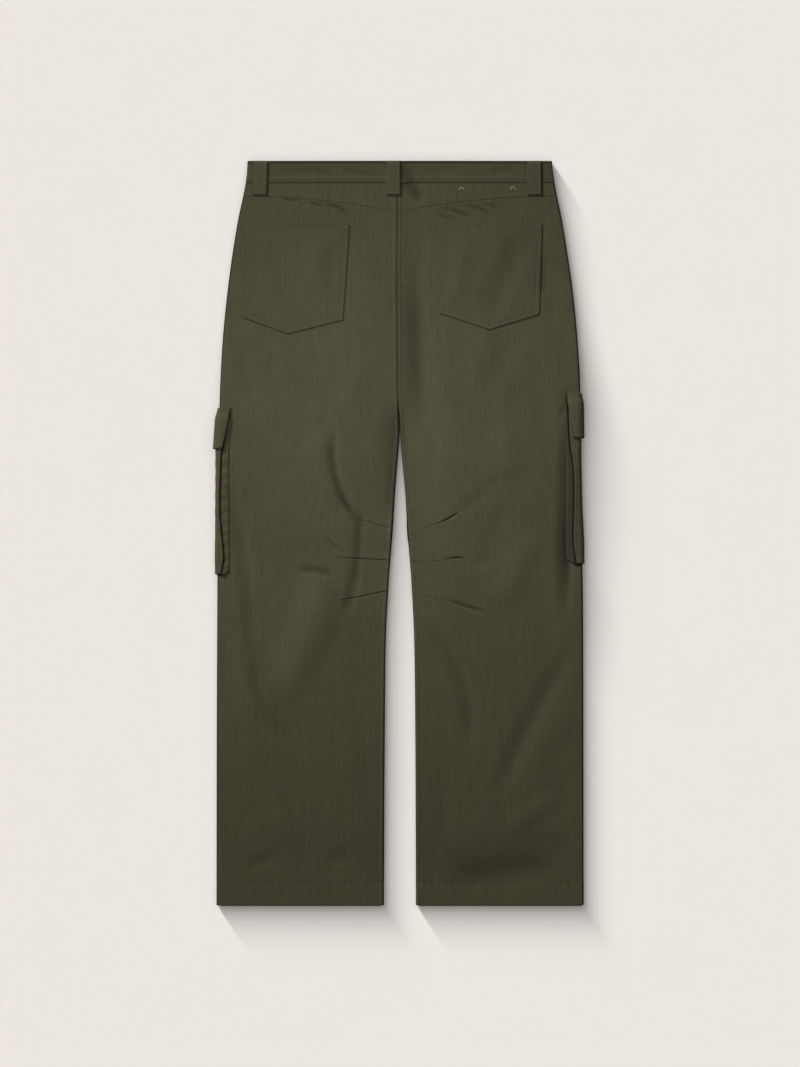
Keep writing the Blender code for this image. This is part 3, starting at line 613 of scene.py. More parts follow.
def streaks(node, where, across, along, detail=3.0):
    """Noise in -0.5 to 0.5 with grains of 1/across by 1/along metres."""
    placed = node("ShaderNodeMapping", Vector=where, Scale=(across, along, 1.0)).outputs[0]
    noise = node("ShaderNodeTexNoise", Vector=placed, Scale=1.0, Detail=detail, Roughness=0.6)
    return maths(node, "SUBTRACT", noise.outputs["Fac"], 0.5)


def twill(name, colour, depth=1.0):
    made, node = new_material(name)
    tree = made.node_tree
    flat = node("ShaderNodeUVMap").outputs[0]
    slub = streaks(node, flat, 620, 26)
    grain = streaks(node, flat, 560, 420, 2.0)
    cloud = streaks(node, flat, 11, 8, 4.0)
    turned = node("ShaderNodeMapping", Vector=flat, Rotation=(0, 0, math.radians(27)))
    fineness = 1 / RIB_PITCH / 20
    ribs = node("ShaderNodeTexWave", Vector=turned.outputs[0], Scale=fineness, Distortion=0.6, Detail=1.0)
    ribs.wave_profile = "SIN"
    coarse = streaks(node, flat, 210, 9)
    light = maths(node, "MULTIPLY_ADD", slub, 0.50 * depth)
    light.node.inputs[2].default_value = 1.0
    light = maths(node, "ADD", light, maths(node, "MULTIPLY", grain, 0.66 * depth))
    light = maths(node, "ADD", light, maths(node, "MULTIPLY", coarse, 0.30 * depth))
    light = maths(node, "ADD", light, maths(node, "MULTIPLY", cloud, 0.16))
    # painted shade: each piece's shade attribute darkens its colour, and a negative value is painted light
    shade = node("ShaderNodeAttribute")
    shade.attribute_name = "shade"
    dimmed = maths(node, "SUBTRACT", 1.0, maths(node, "MULTIPLY", shade.outputs["Fac"], 0.85))
    light = maths(node, "MULTIPLY", light, maths(node, "MAXIMUM", dimmed, 0.06))
    base = node("ShaderNodeRGB")
    base.outputs[0].default_value = (*colour, 1)
    tint = node("ShaderNodeVectorMath", i0=base.outputs[0], i1=light)
    tint.operation = "MULTIPLY"
    lumps = node("ShaderNodeBump", Height=streaks(node, flat, 34, 20, 2.0), Strength=0.35, Distance=0.0016)
    yarns = node("ShaderNodeBump", Height=slub, Strength=0.30, Distance=0.00025, Normal=lumps.outputs[0])
    rib = ribs.outputs["Fac"]
    weave = node("ShaderNodeBump", Height=rib, Strength=0.12, Distance=0.00008, Normal=yarns.outputs[0])
    shader = node(
        "ShaderNodeBsdfPrincipled",
        Base_Color=tint.outputs[0],
        Roughness=0.86,
        Specular_IOR_Level=0.22,
        Sheen_Weight=0.10,
        Sheen_Roughness=0.45,
        Sheen_Tint=(0.62, 0.60, 0.46, 1),
        Normal=weave.outputs[0],
    )
    out = node("ShaderNodeOutputMaterial", Surface=shader.outputs[0])
    tree.nodes.active = out
    return made


def thread(name, colour):
    """Spun polyester thread: fine, a little glossier than the cloth, twisted."""
    made, node = new_material(name)
    where = node("ShaderNodeTexCoord").outputs["Object"]
    twist = streaks(node, where, 2600, 2600, 1.0)
    ramp = node("ShaderNodeMix", Factor=maths(node, "ADD", twist, 0.5))
    ramp.data_type = "RGBA"
    ramp.inputs[6].default_value = (*(c * 0.72 for c in colour), 1)
    ramp.inputs[7].default_value = (*(c * 1.25 for c in colour), 1)
    bump = node("ShaderNodeBump", Height=twist, Strength=0.4, Distance=0.0001)
    shader = node(
        "ShaderNodeBsdfPrincipled",
        Base_Color=ramp.outputs[2],
        Roughness=0.62,
        Specular_IOR_Level=0.35,
        Normal=bump.outputs[0],
    )
    node("ShaderNodeOutputMaterial", Surface=shader.outputs[0])
    return made


TWILL = twill("olive_twill", TWILL_COLOUR)
BAND_TWILL = twill("olive_twill_band", BAND_COLOUR)
POCKET_TWILL = twill("olive_twill_pocket", POCKET_COLOUR)
THREAD = thread("olive_thread", THREAD_COLOUR)
TACK_THREAD = thread("pale_tack_thread", TACK_COLOUR)
HEM_THREAD = thread("dark_hem_thread", HEM_THREAD_COLOUR)
print("materials", len(bpy.data.materials))

# %% [markdown]
# ## Turning a pattern piece into cloth
#
# A pattern piece is a sheet, so each one starts as a flat grid with a corner for every place we
# want to set. Its corners are then moved to their places on the surface, it gets a flat map
# measured along its own rows and columns, and Solidify gives it a wall on the inner side.
# Loose edges are kept sharp, so the cut edge shows as a crisp step.

# %% From points to a piece of cloth
SHEETS = []


def gaps(points, axis):
    """Distance between neighbours along one axis of a grid of points."""
    return np.linalg.norm(np.diff(points, axis=axis), axis=2)


def flat_map(points):
    """u and v in metres, measured over the cloth from the middle of the piece."""
    rows, columns = points.shape[:2]
    u = np.concatenate([np.zeros((rows, 1)), np.cumsum(gaps(points, 1), axis=1)], axis=1)
    v = np.concatenate([np.zeros((1, columns)), np.cumsum(gaps(points, 0), axis=0)], axis=0)
    u += (points[:, columns // 2, 0] - u[:, columns // 2])[:, None]
    v += (points[rows // 2, :, 1] - v[rows // 2, :])[None, :]
    return u, v


def finish_piece(name, bm, wall, material, node):
    mesh = bpy.data.meshes.new(name)
    bm.to_mesh(mesh)
    bm.free()
    mesh.shade_smooth()
    made = bpy.data.objects.new(name, mesh)
    bpy.context.scene.collection.objects.link(made)
    mesh.materials.append(material)
    if wall:
        solid = made.modifiers.new("wall", "SOLIDIFY")
        solid.thickness, solid.offset = wall, -1
        solid.use_quality_normals = True
    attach(made, "root")
    if node:
        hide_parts(node)
    return made


def cloth(node, points, outward, wall, material=None, shade=None, keep=None):
    """A pattern piece through a grid of points, rows by columns; outward is its outer side."""
    rows, columns = points.shape[:2]
    bm = bmesh.new()
    uv_layer = bm.loops.layers.uv.new("flat")
    dark = bm.verts.layers.float.new("shade")
    bmesh.ops.create_grid(bm, x_segments=columns - 1, y_segments=rows - 1, size=0.5)
    u, v = flat_map(points)
    spots = {}
    for vert in bm.verts:
        i, j = round((vert.co.x + 0.5) * (columns - 1)), round((vert.co.y + 0.5) * (rows - 1))
        spots[vert] = (j, i)
        vert.co = points[j, i]
        if shade is not None:
            vert[dark] = float(min(shade[j, i], 1.1))
    dropped, agree = [], 0.0
    bm.normal_update()
    outward = np.broadcast_to(np.asarray(outward, float), points.shape)
    for face in bm.faces:
        places = [spots[vert] for vert in face.verts]
        if keep is not None and not keep[min(p[0] for p in places), min(p[1] for p in places)]:
            dropped.append(face)
        for loop, place in zip(face.loops, places):
            loop[uv_layer].uv = (u[place], v[place])
        agree += face.normal.dot(Vector(outward[places[0]])) * face.calc_area()
    bmesh.ops.delete(bm, geom=dropped, context="FACES")
    if agree < 0:
        bmesh.ops.reverse_faces(bm, faces=bm.faces[:])
    for edge in bm.edges:
        edge.smooth = not edge.is_boundary
    area = sum(face.calc_area() for face in bm.faces)
    size = (float(gaps(points, 1).sum(axis=1).max()), float(gaps(points, 0).sum(axis=0).max()))
    made = finish_piece(f"{node}_cloth", bm, wall, material or TWILL, node)
    SHEETS.append((made, size, area, []))
    print(made.name, f"{size[0]:.3f} x {size[1]:.3f} m, {area:.4f} m2, {len(made.data.polygons)} faces")
    return made


def stack_points(x, y, z):
    return np.stack(np.broadcast_arrays(x, y, z), axis=-1)


# %% [markdown]
# ## Stitches
#
# Topstitching is a row of short threads that dip into the cloth at each end. A dashed texture
# would look painted on from the side. Each stitch is a small stretched ball of a few dozen
# faces instead, and the balls are strung along a line at the sewing machine's pitch.

# %% Rows of stitches
STITCH_PITCH, STITCH_LENGTH, STITCH_RADIUS = 0.0032, 0.0026, 0.00032


def along_line(line, pitch):
    """Places and directions at even steps along a line of points."""
    line = np.asarray(line, float)
    run = np.concatenate([[0], np.cumsum(np.linalg.norm(np.diff(line, axis=0), axis=1))])
    count = max(int(run[-1] / pitch), 1)
    at = (np.arange(count) + 0.5) * run[-1] / count
    spots = np.stack([np.interp(at, run, line[:, k]) for k in range(3)], axis=1)
    ahead = np.stack([np.interp(at + pitch / 3, run, line[:, k]) for k in range(3)], axis=1)
    behind = np.stack([np.interp(at - pitch / 3, run, line[:, k]) for k in range(3)], axis=1)
    return spots, ahead - behind


def string_of_balls(count):
    """Small balls, doubled until there are enough; each corner knows its ball's number."""
    bm = bmesh.new()
    number = bm.verts.layers.int.new("ball")
    bmesh.ops.create_uvsphere(bm, u_segments=6, v_segments=4, radius=1)
    made = 1
    while made < count:
        copied = bmesh.ops.duplicate(bm, geom=bm.verts[:] + bm.edges[:] + bm.faces[:])["geom"]
        for corner in copied:
            if isinstance(corner, bmesh.types.BMVert):
                corner[number] += made
        made *= 2
    bmesh.ops.delete(bm, geom=[v for v in bm.verts if v[number] >= count], context="VERTS")
    return bm, number


def stitches(name, lines, on, material=None, pitch=STITCH_PITCH, length=STITCH_LENGTH, radius=STITCH_RADIUS,
             up=(0, 0, 1)):
    """One piece with a row of stitches along each line, sewn on the sheet `on`."""
    rows = [along_line(line, pitch) for line in lines]
    spots = np.concatenate([row[0] for row in rows]) + np.array(up) * radius * 0.5
    spots[:, 2] = np.maximum(spots[:, 2], radius - 0.0003)
    ahead = np.concatenate([row[1] for row in rows])
    ahead /= np.linalg.norm(ahead, axis=1, keepdims=True)
    beside = np.cross((0.0, 0.0, 1.0), ahead)
    beside /= np.linalg.norm(beside, axis=1, keepdims=True)
    above = np.cross(ahead, beside)
    bm, number = string_of_balls(len(spots))
    for vert in bm.verts:
        k, co = vert[number], vert.co
        vert.co = spots[k] + ahead[k] * co.x * length / 2 + (beside[k] * co.y + above[k] * co.z) * radius
    made = finish_piece(name, bm, 0, material or THREAD, None)
    next(row for row in SHEETS if row[0] == on)[3].append(made)
    print(name, len(made.data.polygons), "faces")
    return made


def on_leg(side, places, out=0.0, count=24):
    """A line through (x, y) places, laid on the upper layer."""
    places = np.array(places, float)
    run = np.concatenate([[0], np.cumsum(np.hypot(*np.diff(places, axis=0).T))])
    at = np.linspace(0, run[-1], count)
    x, y = np.interp(at, run, places[:, 0]), np.interp(at, run, places[:, 1])
    return stack_points(x, y, upper_face(side, x, y) + out)


# %% [markdown]
# ## Legs and yokes
#
# A leg is a back panel over a front panel. The panel's columns crowd together at the rolled
# edges and beside the inseam, where the rows of stitches lie, and its rows crowd along the three
# knee darts and follow their slant. That keeps the sewn lines crisp without a dense mesh all
# over. At the bottom the cloth turns under and runs back up inside the leg, as a real hem does.

# %% Columns and rows of the panels
ROLL_INSETS = round_steps(ROLL, (0, 15, 30, 45, 60, 75, 90))
BESIDE_SEAM = np.array([0.0040, 0.0048, 0.0054, 0.0059, 0.0064, 0.0072, 0.0085])


def leg_columns(fine_side, middle, fine_inner, reach_side=0.050, reach_inner=0.095):
    """(inset, share, from inner) rows: where each column runs across a leg."""
    side = [(inset, 0.0, 0.0) for inset in ROLL_INSETS]
    side += [(ROLL + d, 0.0, 0.0) for d in np.linspace(0, reach_side, fine_side + 1)[1:]]
    across = [(0.0, share, 0.0) for share in np.linspace(0, 1, middle + 1)[1:-1]]
    inner = [(0.0, 0.0, reach_inner - d) for d in np.linspace(0, reach_inner - 0.0100, fine_inner + 1)]
    inner += [(0.0, 0.0, d) for d in BESIDE_SEAM[::-1]] + [(0.0, 0.0, d) for d in ROLL_INSETS[::-1]]
    return side, across, inner, reach_side + ROLL, reach_inner


def column_x(side, spec, y):
    """x of every column at every height, rows by columns."""
    near, across, inner, reach_side, reach_inner = spec
    outer, centre = edges(side, y)
    width = np.abs(outer - centre)
    insets = [d[0] + 0 * y for d in near]
    insets += [mix(reach_side, width - reach_inner, d[1]) for d in across]
    insets += [width - d[2] for d in inner]
    return outer[:, None] - side * np.stack(insets, axis=1)


def hem_rise(x, side):
    """The corners of the hem are a touch rounded."""
    outer, inner = edges(side, -HALF_LENGTH)
    from_corner = np.minimum(np.abs(x - outer), np.abs(x - inner))
    return HEM_CORNER * fade(from_corner, HEM_CORNER_REACH)


def yoke_line(side, x):
    outer, inner = edges(side, YOKE_SIDE)
    share = np.clip((x - outer) / (inner - outer), 0, 1)
    return mix(YOKE_SIDE, YOKE_CENTRE, share**YOKE_CURVE)


def spaced(*stretches):
    """Values along (start, end, step) stretches that follow each other."""
    values = [stretches[0][0]]
    for start, end, step in stretches:
        count = max(round(abs(end - start) / step), 1)
        values += list(np.linspace(start, end, count + 1)[1:])
    return np.array(values)


DART_ROWS = np.array([-0.0035, -0.0018, -0.0010, -0.0005, 0.0, 0.0005, 0.0010, 0.0018, 0.0035])


def back_rows(side):
    """Heights of a back panel's rows at the inseam's darts, from the hem up."""
    mids = [float(np.mean([p.y for p in dart.points])) for dart in DARTS if dart.side == side]
    mids = sorted(mids)
    knee_low, knee_high = mids[0] - 0.035, mids[-1] + 0.035
    hem_top = -HALF_LENGTH + HEM_TURN
    fold_end = -HALF_LENGTH + 0.0013
    rows = list(spaced((-HALF_LENGTH, fold_end, 0.0004), (fold_end, hem_top - 0.003, 0.004)))
    rows += [hem_top + d for d in (-0.0015, -0.0007, 0.0, 0.0007, 0.0015, 0.003)]
    rows += list(spaced((hem_top + 0.003, knee_low, 0.0046))[1:])
    knots = [knee_low, *mids, knee_high]
    for low, high in zip(knots[:-1], knots[1:]):
        first = low + (DART_ROWS[-1] if low in mids else 0)
        last = high - (DART_ROWS[-1] if high in mids else 0)
        rows += list(spaced((first, last, 0.0030))[1:-1])
        if high in mids:
            rows += [high + d for d in DART_ROWS]
    rows += list(spaced((knee_high, 0.230, 0.0030), (0.230, YOKE_SIDE - 0.006, 0.0038)))
    rows += [YOKE_SIDE - d for d in (0.0045, 0.0030, 0.0018, 0.0009, 0.0004, 0.0)]
    return np.array(rows), mids, (knee_low, knee_high)


def follow_darts(side, x, y, mids, zone):
    """Rows slant with the darts: y moved by each dart's own rise above its middle."""
    darts = sorted((d for d in DARTS if d.side == side), key=lambda d: np.mean([p.y for p in d.points]))
    places = [zone[0], *mids, zone[1]]
    shifts = [0 * x] + [dart_line(dart, x) - mid for dart, mid in zip(darts, mids)] + [0 * x]
    moved = y + 0 * x
    for k in range(len(places) - 1):
        low, high = places[k], places[k + 1]
        t = (y - low) / (high - low)
        within = (t >= 0) & (t < 1)
        moved = np.where(within, y + mix(shifts[k], shifts[k + 1], np.clip(t, 0, 1)), moved)
    return moved


# %% Back panels with their turned hems
HEM_RADIUS = CLOTH + 0.00005
HEM_UNDER, HEM_FLOOR, HEM_ENDS = 2.2 * HEM_RADIUS, 0.0026, 9
SEAM_DIP, SEAM_DIP_REACH = 0.0004, 0.0007
YOKE_STEP, YOKE_STEP_REACH = 0.0003, 0.008
BACK_COLUMNS = leg_columns(18, 26, 36)
YOKE_SHADE = {LEFT: 0.08, RIGHT: 0.20}


def back_panel(name, side):
    rows, mids, zone = back_rows(side)
    x = column_x(side, BACK_COLUMNS, rows)
    y = follow_darts(side, x, rows[:, None], mids, zone)
    near_yoke = smooth(1 - (YOKE_SIDE - rows[:, None]) / 0.20)
    y = y + (yoke_line(side, x) - SEAM_GAP - YOKE_SIDE) * near_yoke
    y = y + hem_rise(x, side) * smooth(1 - (rows[:, None] + HALF_LENGTH) / 0.06)
    z = upper_face(side, x, y)
    from_top = yoke_line(side, x) - y
    z = z + YOKE_STEP * smooth(1 - from_top / YOKE_STEP_REACH) - SEAM_DIP * bell(from_top, SEAM_DIP_REACH)
    z[:, 0] -= ROLL_WALL - SEAM_GAP
    z[:, -1] -= (ROLL_WALL - SEAM_GAP) * parted(rows)
    shade = upper_shade(side, x, y) + YOKE_SHADE[side] * bell(from_top, 0.0009)
    points = stack_points(x, y, z)
    # the hem: round the fold, then back up inside the leg
    turns = []
    for angle in np.radians([0, 30, 60, 90, 120, 150]):
        turns.append(points[0] + [0, HEM_RADIUS * (1 - np.sin(angle)), -HEM_RADIUS * (1 + np.cos(angle))])
    inside_rows = [turns[0] + [0, d, 0] for d in (HEM_TURN, HEM_TURN * 0.8, HEM_TURN * 0.6, HEM_TURN * 0.3)]
    for row in inside_rows:
        row[:, 2] = np.minimum(row[:, 2], upper_face(side, row[:, 0], row[:, 1]) - HEM_UNDER)
    hem = np.stack(inside_rows + turns)
    hem[..., 2] = np.maximum(hem[..., 2], HEM_FLOOR)
    points = np.concatenate([hem, points])
    shade = np.concatenate([np.repeat(shade[:1], len(hem), axis=0) + 0.3, shade])
    keep = np.ones(points.shape[:2], bool)
    keep[: len(inside_rows) + 3, :HEM_ENDS] = False
    keep[: len(inside_rows) + 3, -HEM_ENDS:] = False
    return cloth(f"back_leg_{name}", points, (0, 0, 1), CLOTH, shade=shade, keep=keep)


BACKS = {name: back_panel(name, cargo.side) for name, cargo in CARGOS.items()}

# %% Front panels and yokes
FRONT_COLUMNS = leg_columns(8, 16, 22)


def front_panel(name, side):
    rows = spaced((-HALF_LENGTH, -HALF_LENGTH + 0.002, 0.001), (-HALF_LENGTH + 0.002, BAND_SEAM, 0.0060))
    x = column_x(side, FRONT_COLUMNS, rows)
    near_top = smooth(1 - (BAND_SEAM - rows[:, None]) / 0.25)
    y = rows[:, None] - (SEAM_GAP + front_dip(x, BAND_SEAM)) * near_top
    y = y + hem_rise(x, side) * smooth(1 - (rows[:, None] + HALF_LENGTH) / 0.06)
    z = lower_face(side, x, y)
    z[:, 0] += ROLL_WALL - SEAM_GAP
    z[:, -1] += (ROLL_WALL - SEAM_GAP) * parted(rows)
    return cloth(f"front_leg_{name}", stack_points(x, y, z), (0, 0, -1), CLOTH, shade=lower_shade(side, x, y))


def yoke(name, side):
    shares = np.array([0, 0.02, 0.045, 0.08, 0.16, 0.28, 0.42, 0.56, 0.70, 0.82, 0.90, 0.96, 1.0])
    x = column_x(side, BACK_COLUMNS, np.full(len(shares), YOKE_SIDE))
    low = yoke_line(side, x) + SEAM_GAP
    y = mix(low, BAND_SEAM - SEAM_GAP, shares[:, None])
    outer, inner = edges(side, y)
    share = (x[:1] - edges(side, YOKE_SIDE)[0]) / (edges(side, YOKE_SIDE)[1] - edges(side, YOKE_SIDE)[0])
    x = mix(outer, inner, share)
    z = upper_face(side, x, y)
    from_low, from_top = y - low, BAND_SEAM - y
    z = z - SEAM_DIP * bell(from_low, SEAM_DIP_REACH) - SEAM_DIP * bell(from_top, SEAM_DIP_REACH)
    z = z + puckers(x, from_top - 0.004, 0.007)
    z[:, 0] -= ROLL_WALL - SEAM_GAP
    shade = upper_shade(side, x, y) + 0.10 * bell(from_low, 0.0009) + 0.35 * bell(from_top, 0.0008)
    return cloth(f"yoke_{name}", stack_points(x, y, z), (0, 0, 1), CLOTH, shade=shade)


FRONTS = {name: front_panel(name, cargo.side) for name, cargo in CARGOS.items()}
YOKES = {name: yoke(name, cargo.side) for name, cargo in CARGOS.items()}

# %% Stitches of the legs and yokes
for name, cargo in CARGOS.items():
    side = cargo.side
    heights = np.linspace(-HALF_LENGTH + 0.002, YOKE_CENTRE - 0.004, 260)
    if side == RIGHT:
        heights = heights[heights < CROTCH_END - 0.004]
    x = edges(side, heights)[1] + side * FELL_WIDTH
    inseam = stack_points(x, heights, upper_face(side, x, heights))
    outer, inner = edges(side, -HALF_LENGTH + HEM_TURN)
    hem_x = np.linspace(outer - side * 0.002, inner + side * 0.002, 120)
    hem_y = np.full(120, -HALF_LENGTH + HEM_TURN)
    hem = stack_points(hem_x, hem_y, upper_face(side, hem_x, hem_y))
    stitches(f"back_leg_{name}_stitches", [inseam], BACKS[name])
    stitches(f"back_leg_{name}_hem_stitches", [hem], BACKS[name], HEM_THREAD)

# %% [markdown]
# ## The waistband
#
# The band is one long strip, folded along its top edge, so two layers lie against each other and
# the fold is round. It runs from the button round the back to the other side of the fly. The
# strip's path is laid out first, with the direction that points away from the body at each step,
# and its section is a list of heights and offsets: up the outer face, over the fold and down.

# %% Waistband
BAND_LEFT, BAND_RIGHT = -0.2155, 0.2185
UNDER_STEPS, OVER_STEPS = 60, 122
BAND_FOLD = BAND_WALL / 2
BAND_STITCH = 0.0040
BAND_RIDGE = 0.0088


def band_face(side, x, y, upper):
    row, (outer, _) = read(STACKS, y), edges(side, y)
    distance = np.abs(x - outer)
    if upper:
        level = row.thick + row.crown * (1 - (x / outer) ** 2)
        return level - (level - row.thick / 2 - ROLL_WALL) * (1 - roll(distance))
    level = lift(x, y)
    return level + (row.thick / 2 - ROLL_WALL - level) * (1 - roll(distance))


BAND_CREASES = (
    Crease(0.0040, 0.538, 0.0220, 0.498, 0.000, -0.0007, 0.0160, 0.50),
    Crease(-0.1750, 0.528, -0.0900, 0.523, 0.000, -0.0005, 0.0090, 0.18),
    Crease(-0.0900, 0.530, -0.0300, 0.517, 0.000, -0.0006, 0.0080, 0.22),
    Crease(0.0550, 0.537, 0.1000, 0.520, 0.000, -0.0006, 0.0055, 0.14),
    Crease(0.1250, 0.524, 0.1750, 0.528, 0.000, -0.0005, 0.0060, 0.10),
    Crease(-0.0450, 0.534, -0.0180, 0.516, 0.001, -0.0005, 0.0050, 0.12),
    Crease(-0.1500, 0.531, -0.0900, 0.520, 0.001, -0.0005, 0.0070, 0.08),
    Crease(0.0850, 0.535, 0.1250, 0.518, 0.001, 0.0005, 0.0050, 0),
    Crease(0.0300, 0.524, 0.0900, 0.530, 0.001, -0.0005, 0.0060, 0.08),
    Crease(0.1300, 0.530, 0.1800, 0.522, 0.001, -0.0004, 0.0060, 0.05),
)


def waistband():
    insets = ROLL_INSETS[::-1]
    path = [("under", x) for x in np.linspace(TAB_END, BAND_LEFT, UNDER_STEPS)]
    path += [("under left", d) for d in insets[1:]] + [("over left", d) for d in insets[::-1]]
    path += [("over", x) for x in np.linspace(BAND_LEFT, BAND_RIGHT, OVER_STEPS)[1:-1]]
    path += [("over right", d) for d in insets] + [("under right", d) for d in insets[::-1][:-1]]
    path += [("under", x) for x in np.linspace(BAND_RIGHT, -TAB_END, UNDER_STEPS)]
    last_under = len(path) - UNDER_STEPS
    near_seam = [0.0, 0.0005, 0.0012, 0.0024, 0.0034, 0.0040, 0.0046, 0.0060, 0.0080, 0.0092, 0.0110]
    outer_rows = np.array([*near_seam, 0.0150, 0.0190, 0.0230, 0.0265, BAND_HEIGHT - BAND_FOLD])
    angles = np.radians([30, 60, 90, 120, 150, 180])
    section = [(y, 0.0) for y in outer_rows]
    section += [(BAND_HEIGHT - BAND_FOLD * (1 - math.sin(a)), -BAND_FOLD * (1 - math.cos(a))) for a in angles]
    section += [(y, -2 * BAND_FOLD) for y in (0.022, 0.012, 0.0016)]
    height = BAND_SEAM + SEAM_GAP + np.array([s[0] for s in section])[:, None] * (1 - SEAM_GAP / BAND_HEIGHT)
    out = np.array([s[1] for s in section])[:, None] + np.zeros((1, len(path)))
    base = np.zeros((len(section), len(path), 3))
    for k, (where, value) in enumerate(path):
        y = height[:, 0]
        side = LEFT if "left" in where or (where in ("over", "under") and value < 0) else RIGHT
        x = edges(side, y)[0] - side * value if where not in ("over", "under") else value + 0 * y
        upper = where.startswith("over")
        z = band_face(side, x, y if upper else y - front_dip(x, y), upper)
        if k >= last_under:
            z = z + TAB_RISE * smooth((TAB_END + 0.001 + TAB_RAMP - x) / TAB_RAMP)
        base[:, k] = stack_points(x, y if upper else y - front_dip(x, y), z)
    along = np.gradient(base, axis=1)
    normal = np.stack([-along[..., 2], 0 * along[..., 0], along[..., 0]], axis=-1)
    normal /= np.linalg.norm(normal, axis=2, keepdims=True)
    up = height - BAND_SEAM
    run = np.concatenate([[0], np.cumsum(np.linalg.norm(np.diff(base[5], axis=0), axis=1))])[None, :]
    relief = 0.0003 * smooth((BAND_RIDGE + 0.0006 - up) / 0.0012) + sewn_row(up - BAND_STITCH)
    relief = relief - 0.0008 * bell(up, 0.0008) + 0.7 * puckers(run, up - BAND_STITCH, 0.007)
    on_top = normal[..., 2] > 0.5
    creased, creased_shade = crease_relief(BAND_CREASES, base[..., 0], base[..., 1])
    relief = relief + np.where(on_top, creased, 0)
    outer_face = out > -BAND_FOLD * 0.5
    out = out + np.where(outer_face, relief, 0)
    shade = 0.45 * bell(up, 0.0008) + 0.90 * smooth((up - BAND_HEIGHT + 0.0020) / 0.0012)
    shade = shade + np.where(on_top, creased_shade, 0) + 0.20 * bell(up - BAND_STITCH, 0.0008)
    points = base + normal * out[..., None]
    shade = shade + 0 * run
    made = cloth("waistband", points, normal, BAND_WALL * 0.45, BAND_TWILL, shade)
    # the row of stitches skips the two rolled sides
    line, turn = points[closest(outer_rows, BAND_STITCH)], len(insets) - 1
    over = UNDER_STEPS + turn
    over_end = over + 2 * len(insets) + OVER_STEPS - 2
    stitches("waistband_stitches", [line[:UNDER_STEPS], line[over:over_end], line[over_end + turn:]], made)
    return made


BAND = waistband()

# %% [markdown]
# ## Belt loops
#
# A loop is a narrow folded strip, stitched along both edges and bar-tacked at its ends. It lies
# over the band and stands a little off it in the middle, so it casts the fine shadow that makes
# it read as a separate strap.

# %% Belt loops
Loop = namedtuple("Loop", "top bottom on_front")
LOOPS = {
    "left": Loop(-0.2000, -0.2018, False),
    "centre": Loop(-0.0082, -0.0080, False),
    "right": Loop(0.1962, 0.1966, False),
    "front_left": Loop(-0.1180, -0.1180, True),
    "front_right": Loop(0.1180, 0.1180, True),
}
LOOP_WIDTH, LOOP_LENGTH, LOOP_ROUND = 0.0205, 0.0495, 0.0009
LOOP_STITCH_INSET, LOOP_TACK, LOOP_ARCH = 0.0034, 0.0032, 0.0007


def rounded_steps(half, round_over, count):
    """Places across a strip from edge to edge, crowded at its rounded edges."""
    near = -half + round_steps(round_over)
    middle = np.linspace(-half + round_over, half - round_over, count + 1)[1:-1]
    return np.concatenate([near, middle, -near[::-1]])


def belt_loop(name, loop):
    across = rounded_steps(LOOP_WIDTH / 2, LOOP_ROUND, 12)[None, :]
    along = rounded_steps(LOOP_LENGTH / 2, LOOP_ROUND, 26)[:, None] + LOOP_LENGTH / 2
    y = HALF_LENGTH - LOOP_LENGTH + along
    x = mix(loop.bottom, loop.top, along / LOOP_LENGTH) + across
    side = LEFT if loop.top < 0 else RIGHT
    from_edge = LOOP_WIDTH / 2 - np.abs(across)
    from_end = np.minimum(along, LOOP_LENGTH - along)
    rounded = quarter(from_edge, LOOP_ROUND) * quarter(from_end, LOOP_ROUND)
    relief = sewn_row(from_edge - LOOP_STITCH_INSET) + LOOP_ARCH * smooth(from_end / 0.012)
    relief = relief + puckers(along, from_edge - LOOP_STITCH_INSET, 0.003) * 0.8
    # painted shade along the loop's edges and ends, besides the shadow the loop casts
    shade = 0.5 * fade(from_edge, 0.0011) + 0.45 * fade(from_end, 0.0012) + 0 * x
    up = -1 if loop.on_front else 1
    if loop.on_front:
        y = y - front_dip(loop.top, HALF_LENGTH)
        z = LOOP_WALL * 0.9 * (1 - rounded) + 0 * x
    else:
        z = band_face(side, x, y, True) + LAY_GAP + 0.0002 + (LOOP_WALL + relief) * rounded
    points = stack_points(x, y, z)
    made = cloth(f"belt_loop_{name}", points, (0, 0, up), LOOP_WALL * 0.5, shade=shade)
    columns = [closest(across[0], edge * (LOOP_WIDTH / 2 - LOOP_STITCH_INSET)) for edge in (-1, 1)]
    lines = [points[4:-4, k] for k in columns]
    tack_rows = [closest(along[:, 0], at) for at in (LOOP_TACK, LOOP_LENGTH - LOOP_TACK)]
    stitches(f"belt_loop_{name}_stitches", lines, made, up=(0, 0, up))
    bars = [points[k, 4:-4] for k in tack_rows]
    stitches(f"belt_loop_{name}_tacks", bars, made, pitch=0.0009, length=0.0019, radius=0.0003, up=(0, 0, up))
    return made


LOOP_PIECES = {name: belt_loop(name, loop) for name, loop in LOOPS.items()}

# %% [markdown]
# ## Back pockets
#
# A patch pocket is laid on the leg with its edges folded in, so it ends in a soft round step that
# throws a thin line of shadow. The patch borrows the leg's own surface and adds a little
# fullness in the middle. Two rows of stitches hold its top hem and one runs round its sides.

# %% Back pockets
Patch = namedtuple("Patch", "top_left top_right low_right point low_left")
BACK_POCKETS = {
    "left": Patch((-0.2290, 0.447), (-0.0706, 0.447), (-0.0807, 0.3095), (-0.161, 0.2893), (-0.2285, 0.3139)),
    "right": Patch((0.0516, 0.4484), (0.2086, 0.4484), (0.2043, 0.3175), (0.1312, 0.2951), (0.0596, 0.3189)),
}
PATCH_ROUND, PATCH_STITCH, PATCH_HEM = 0.0011, 0.0062, (0.0036, 0.0088)
PATCH_FULLNESS = 0.0006


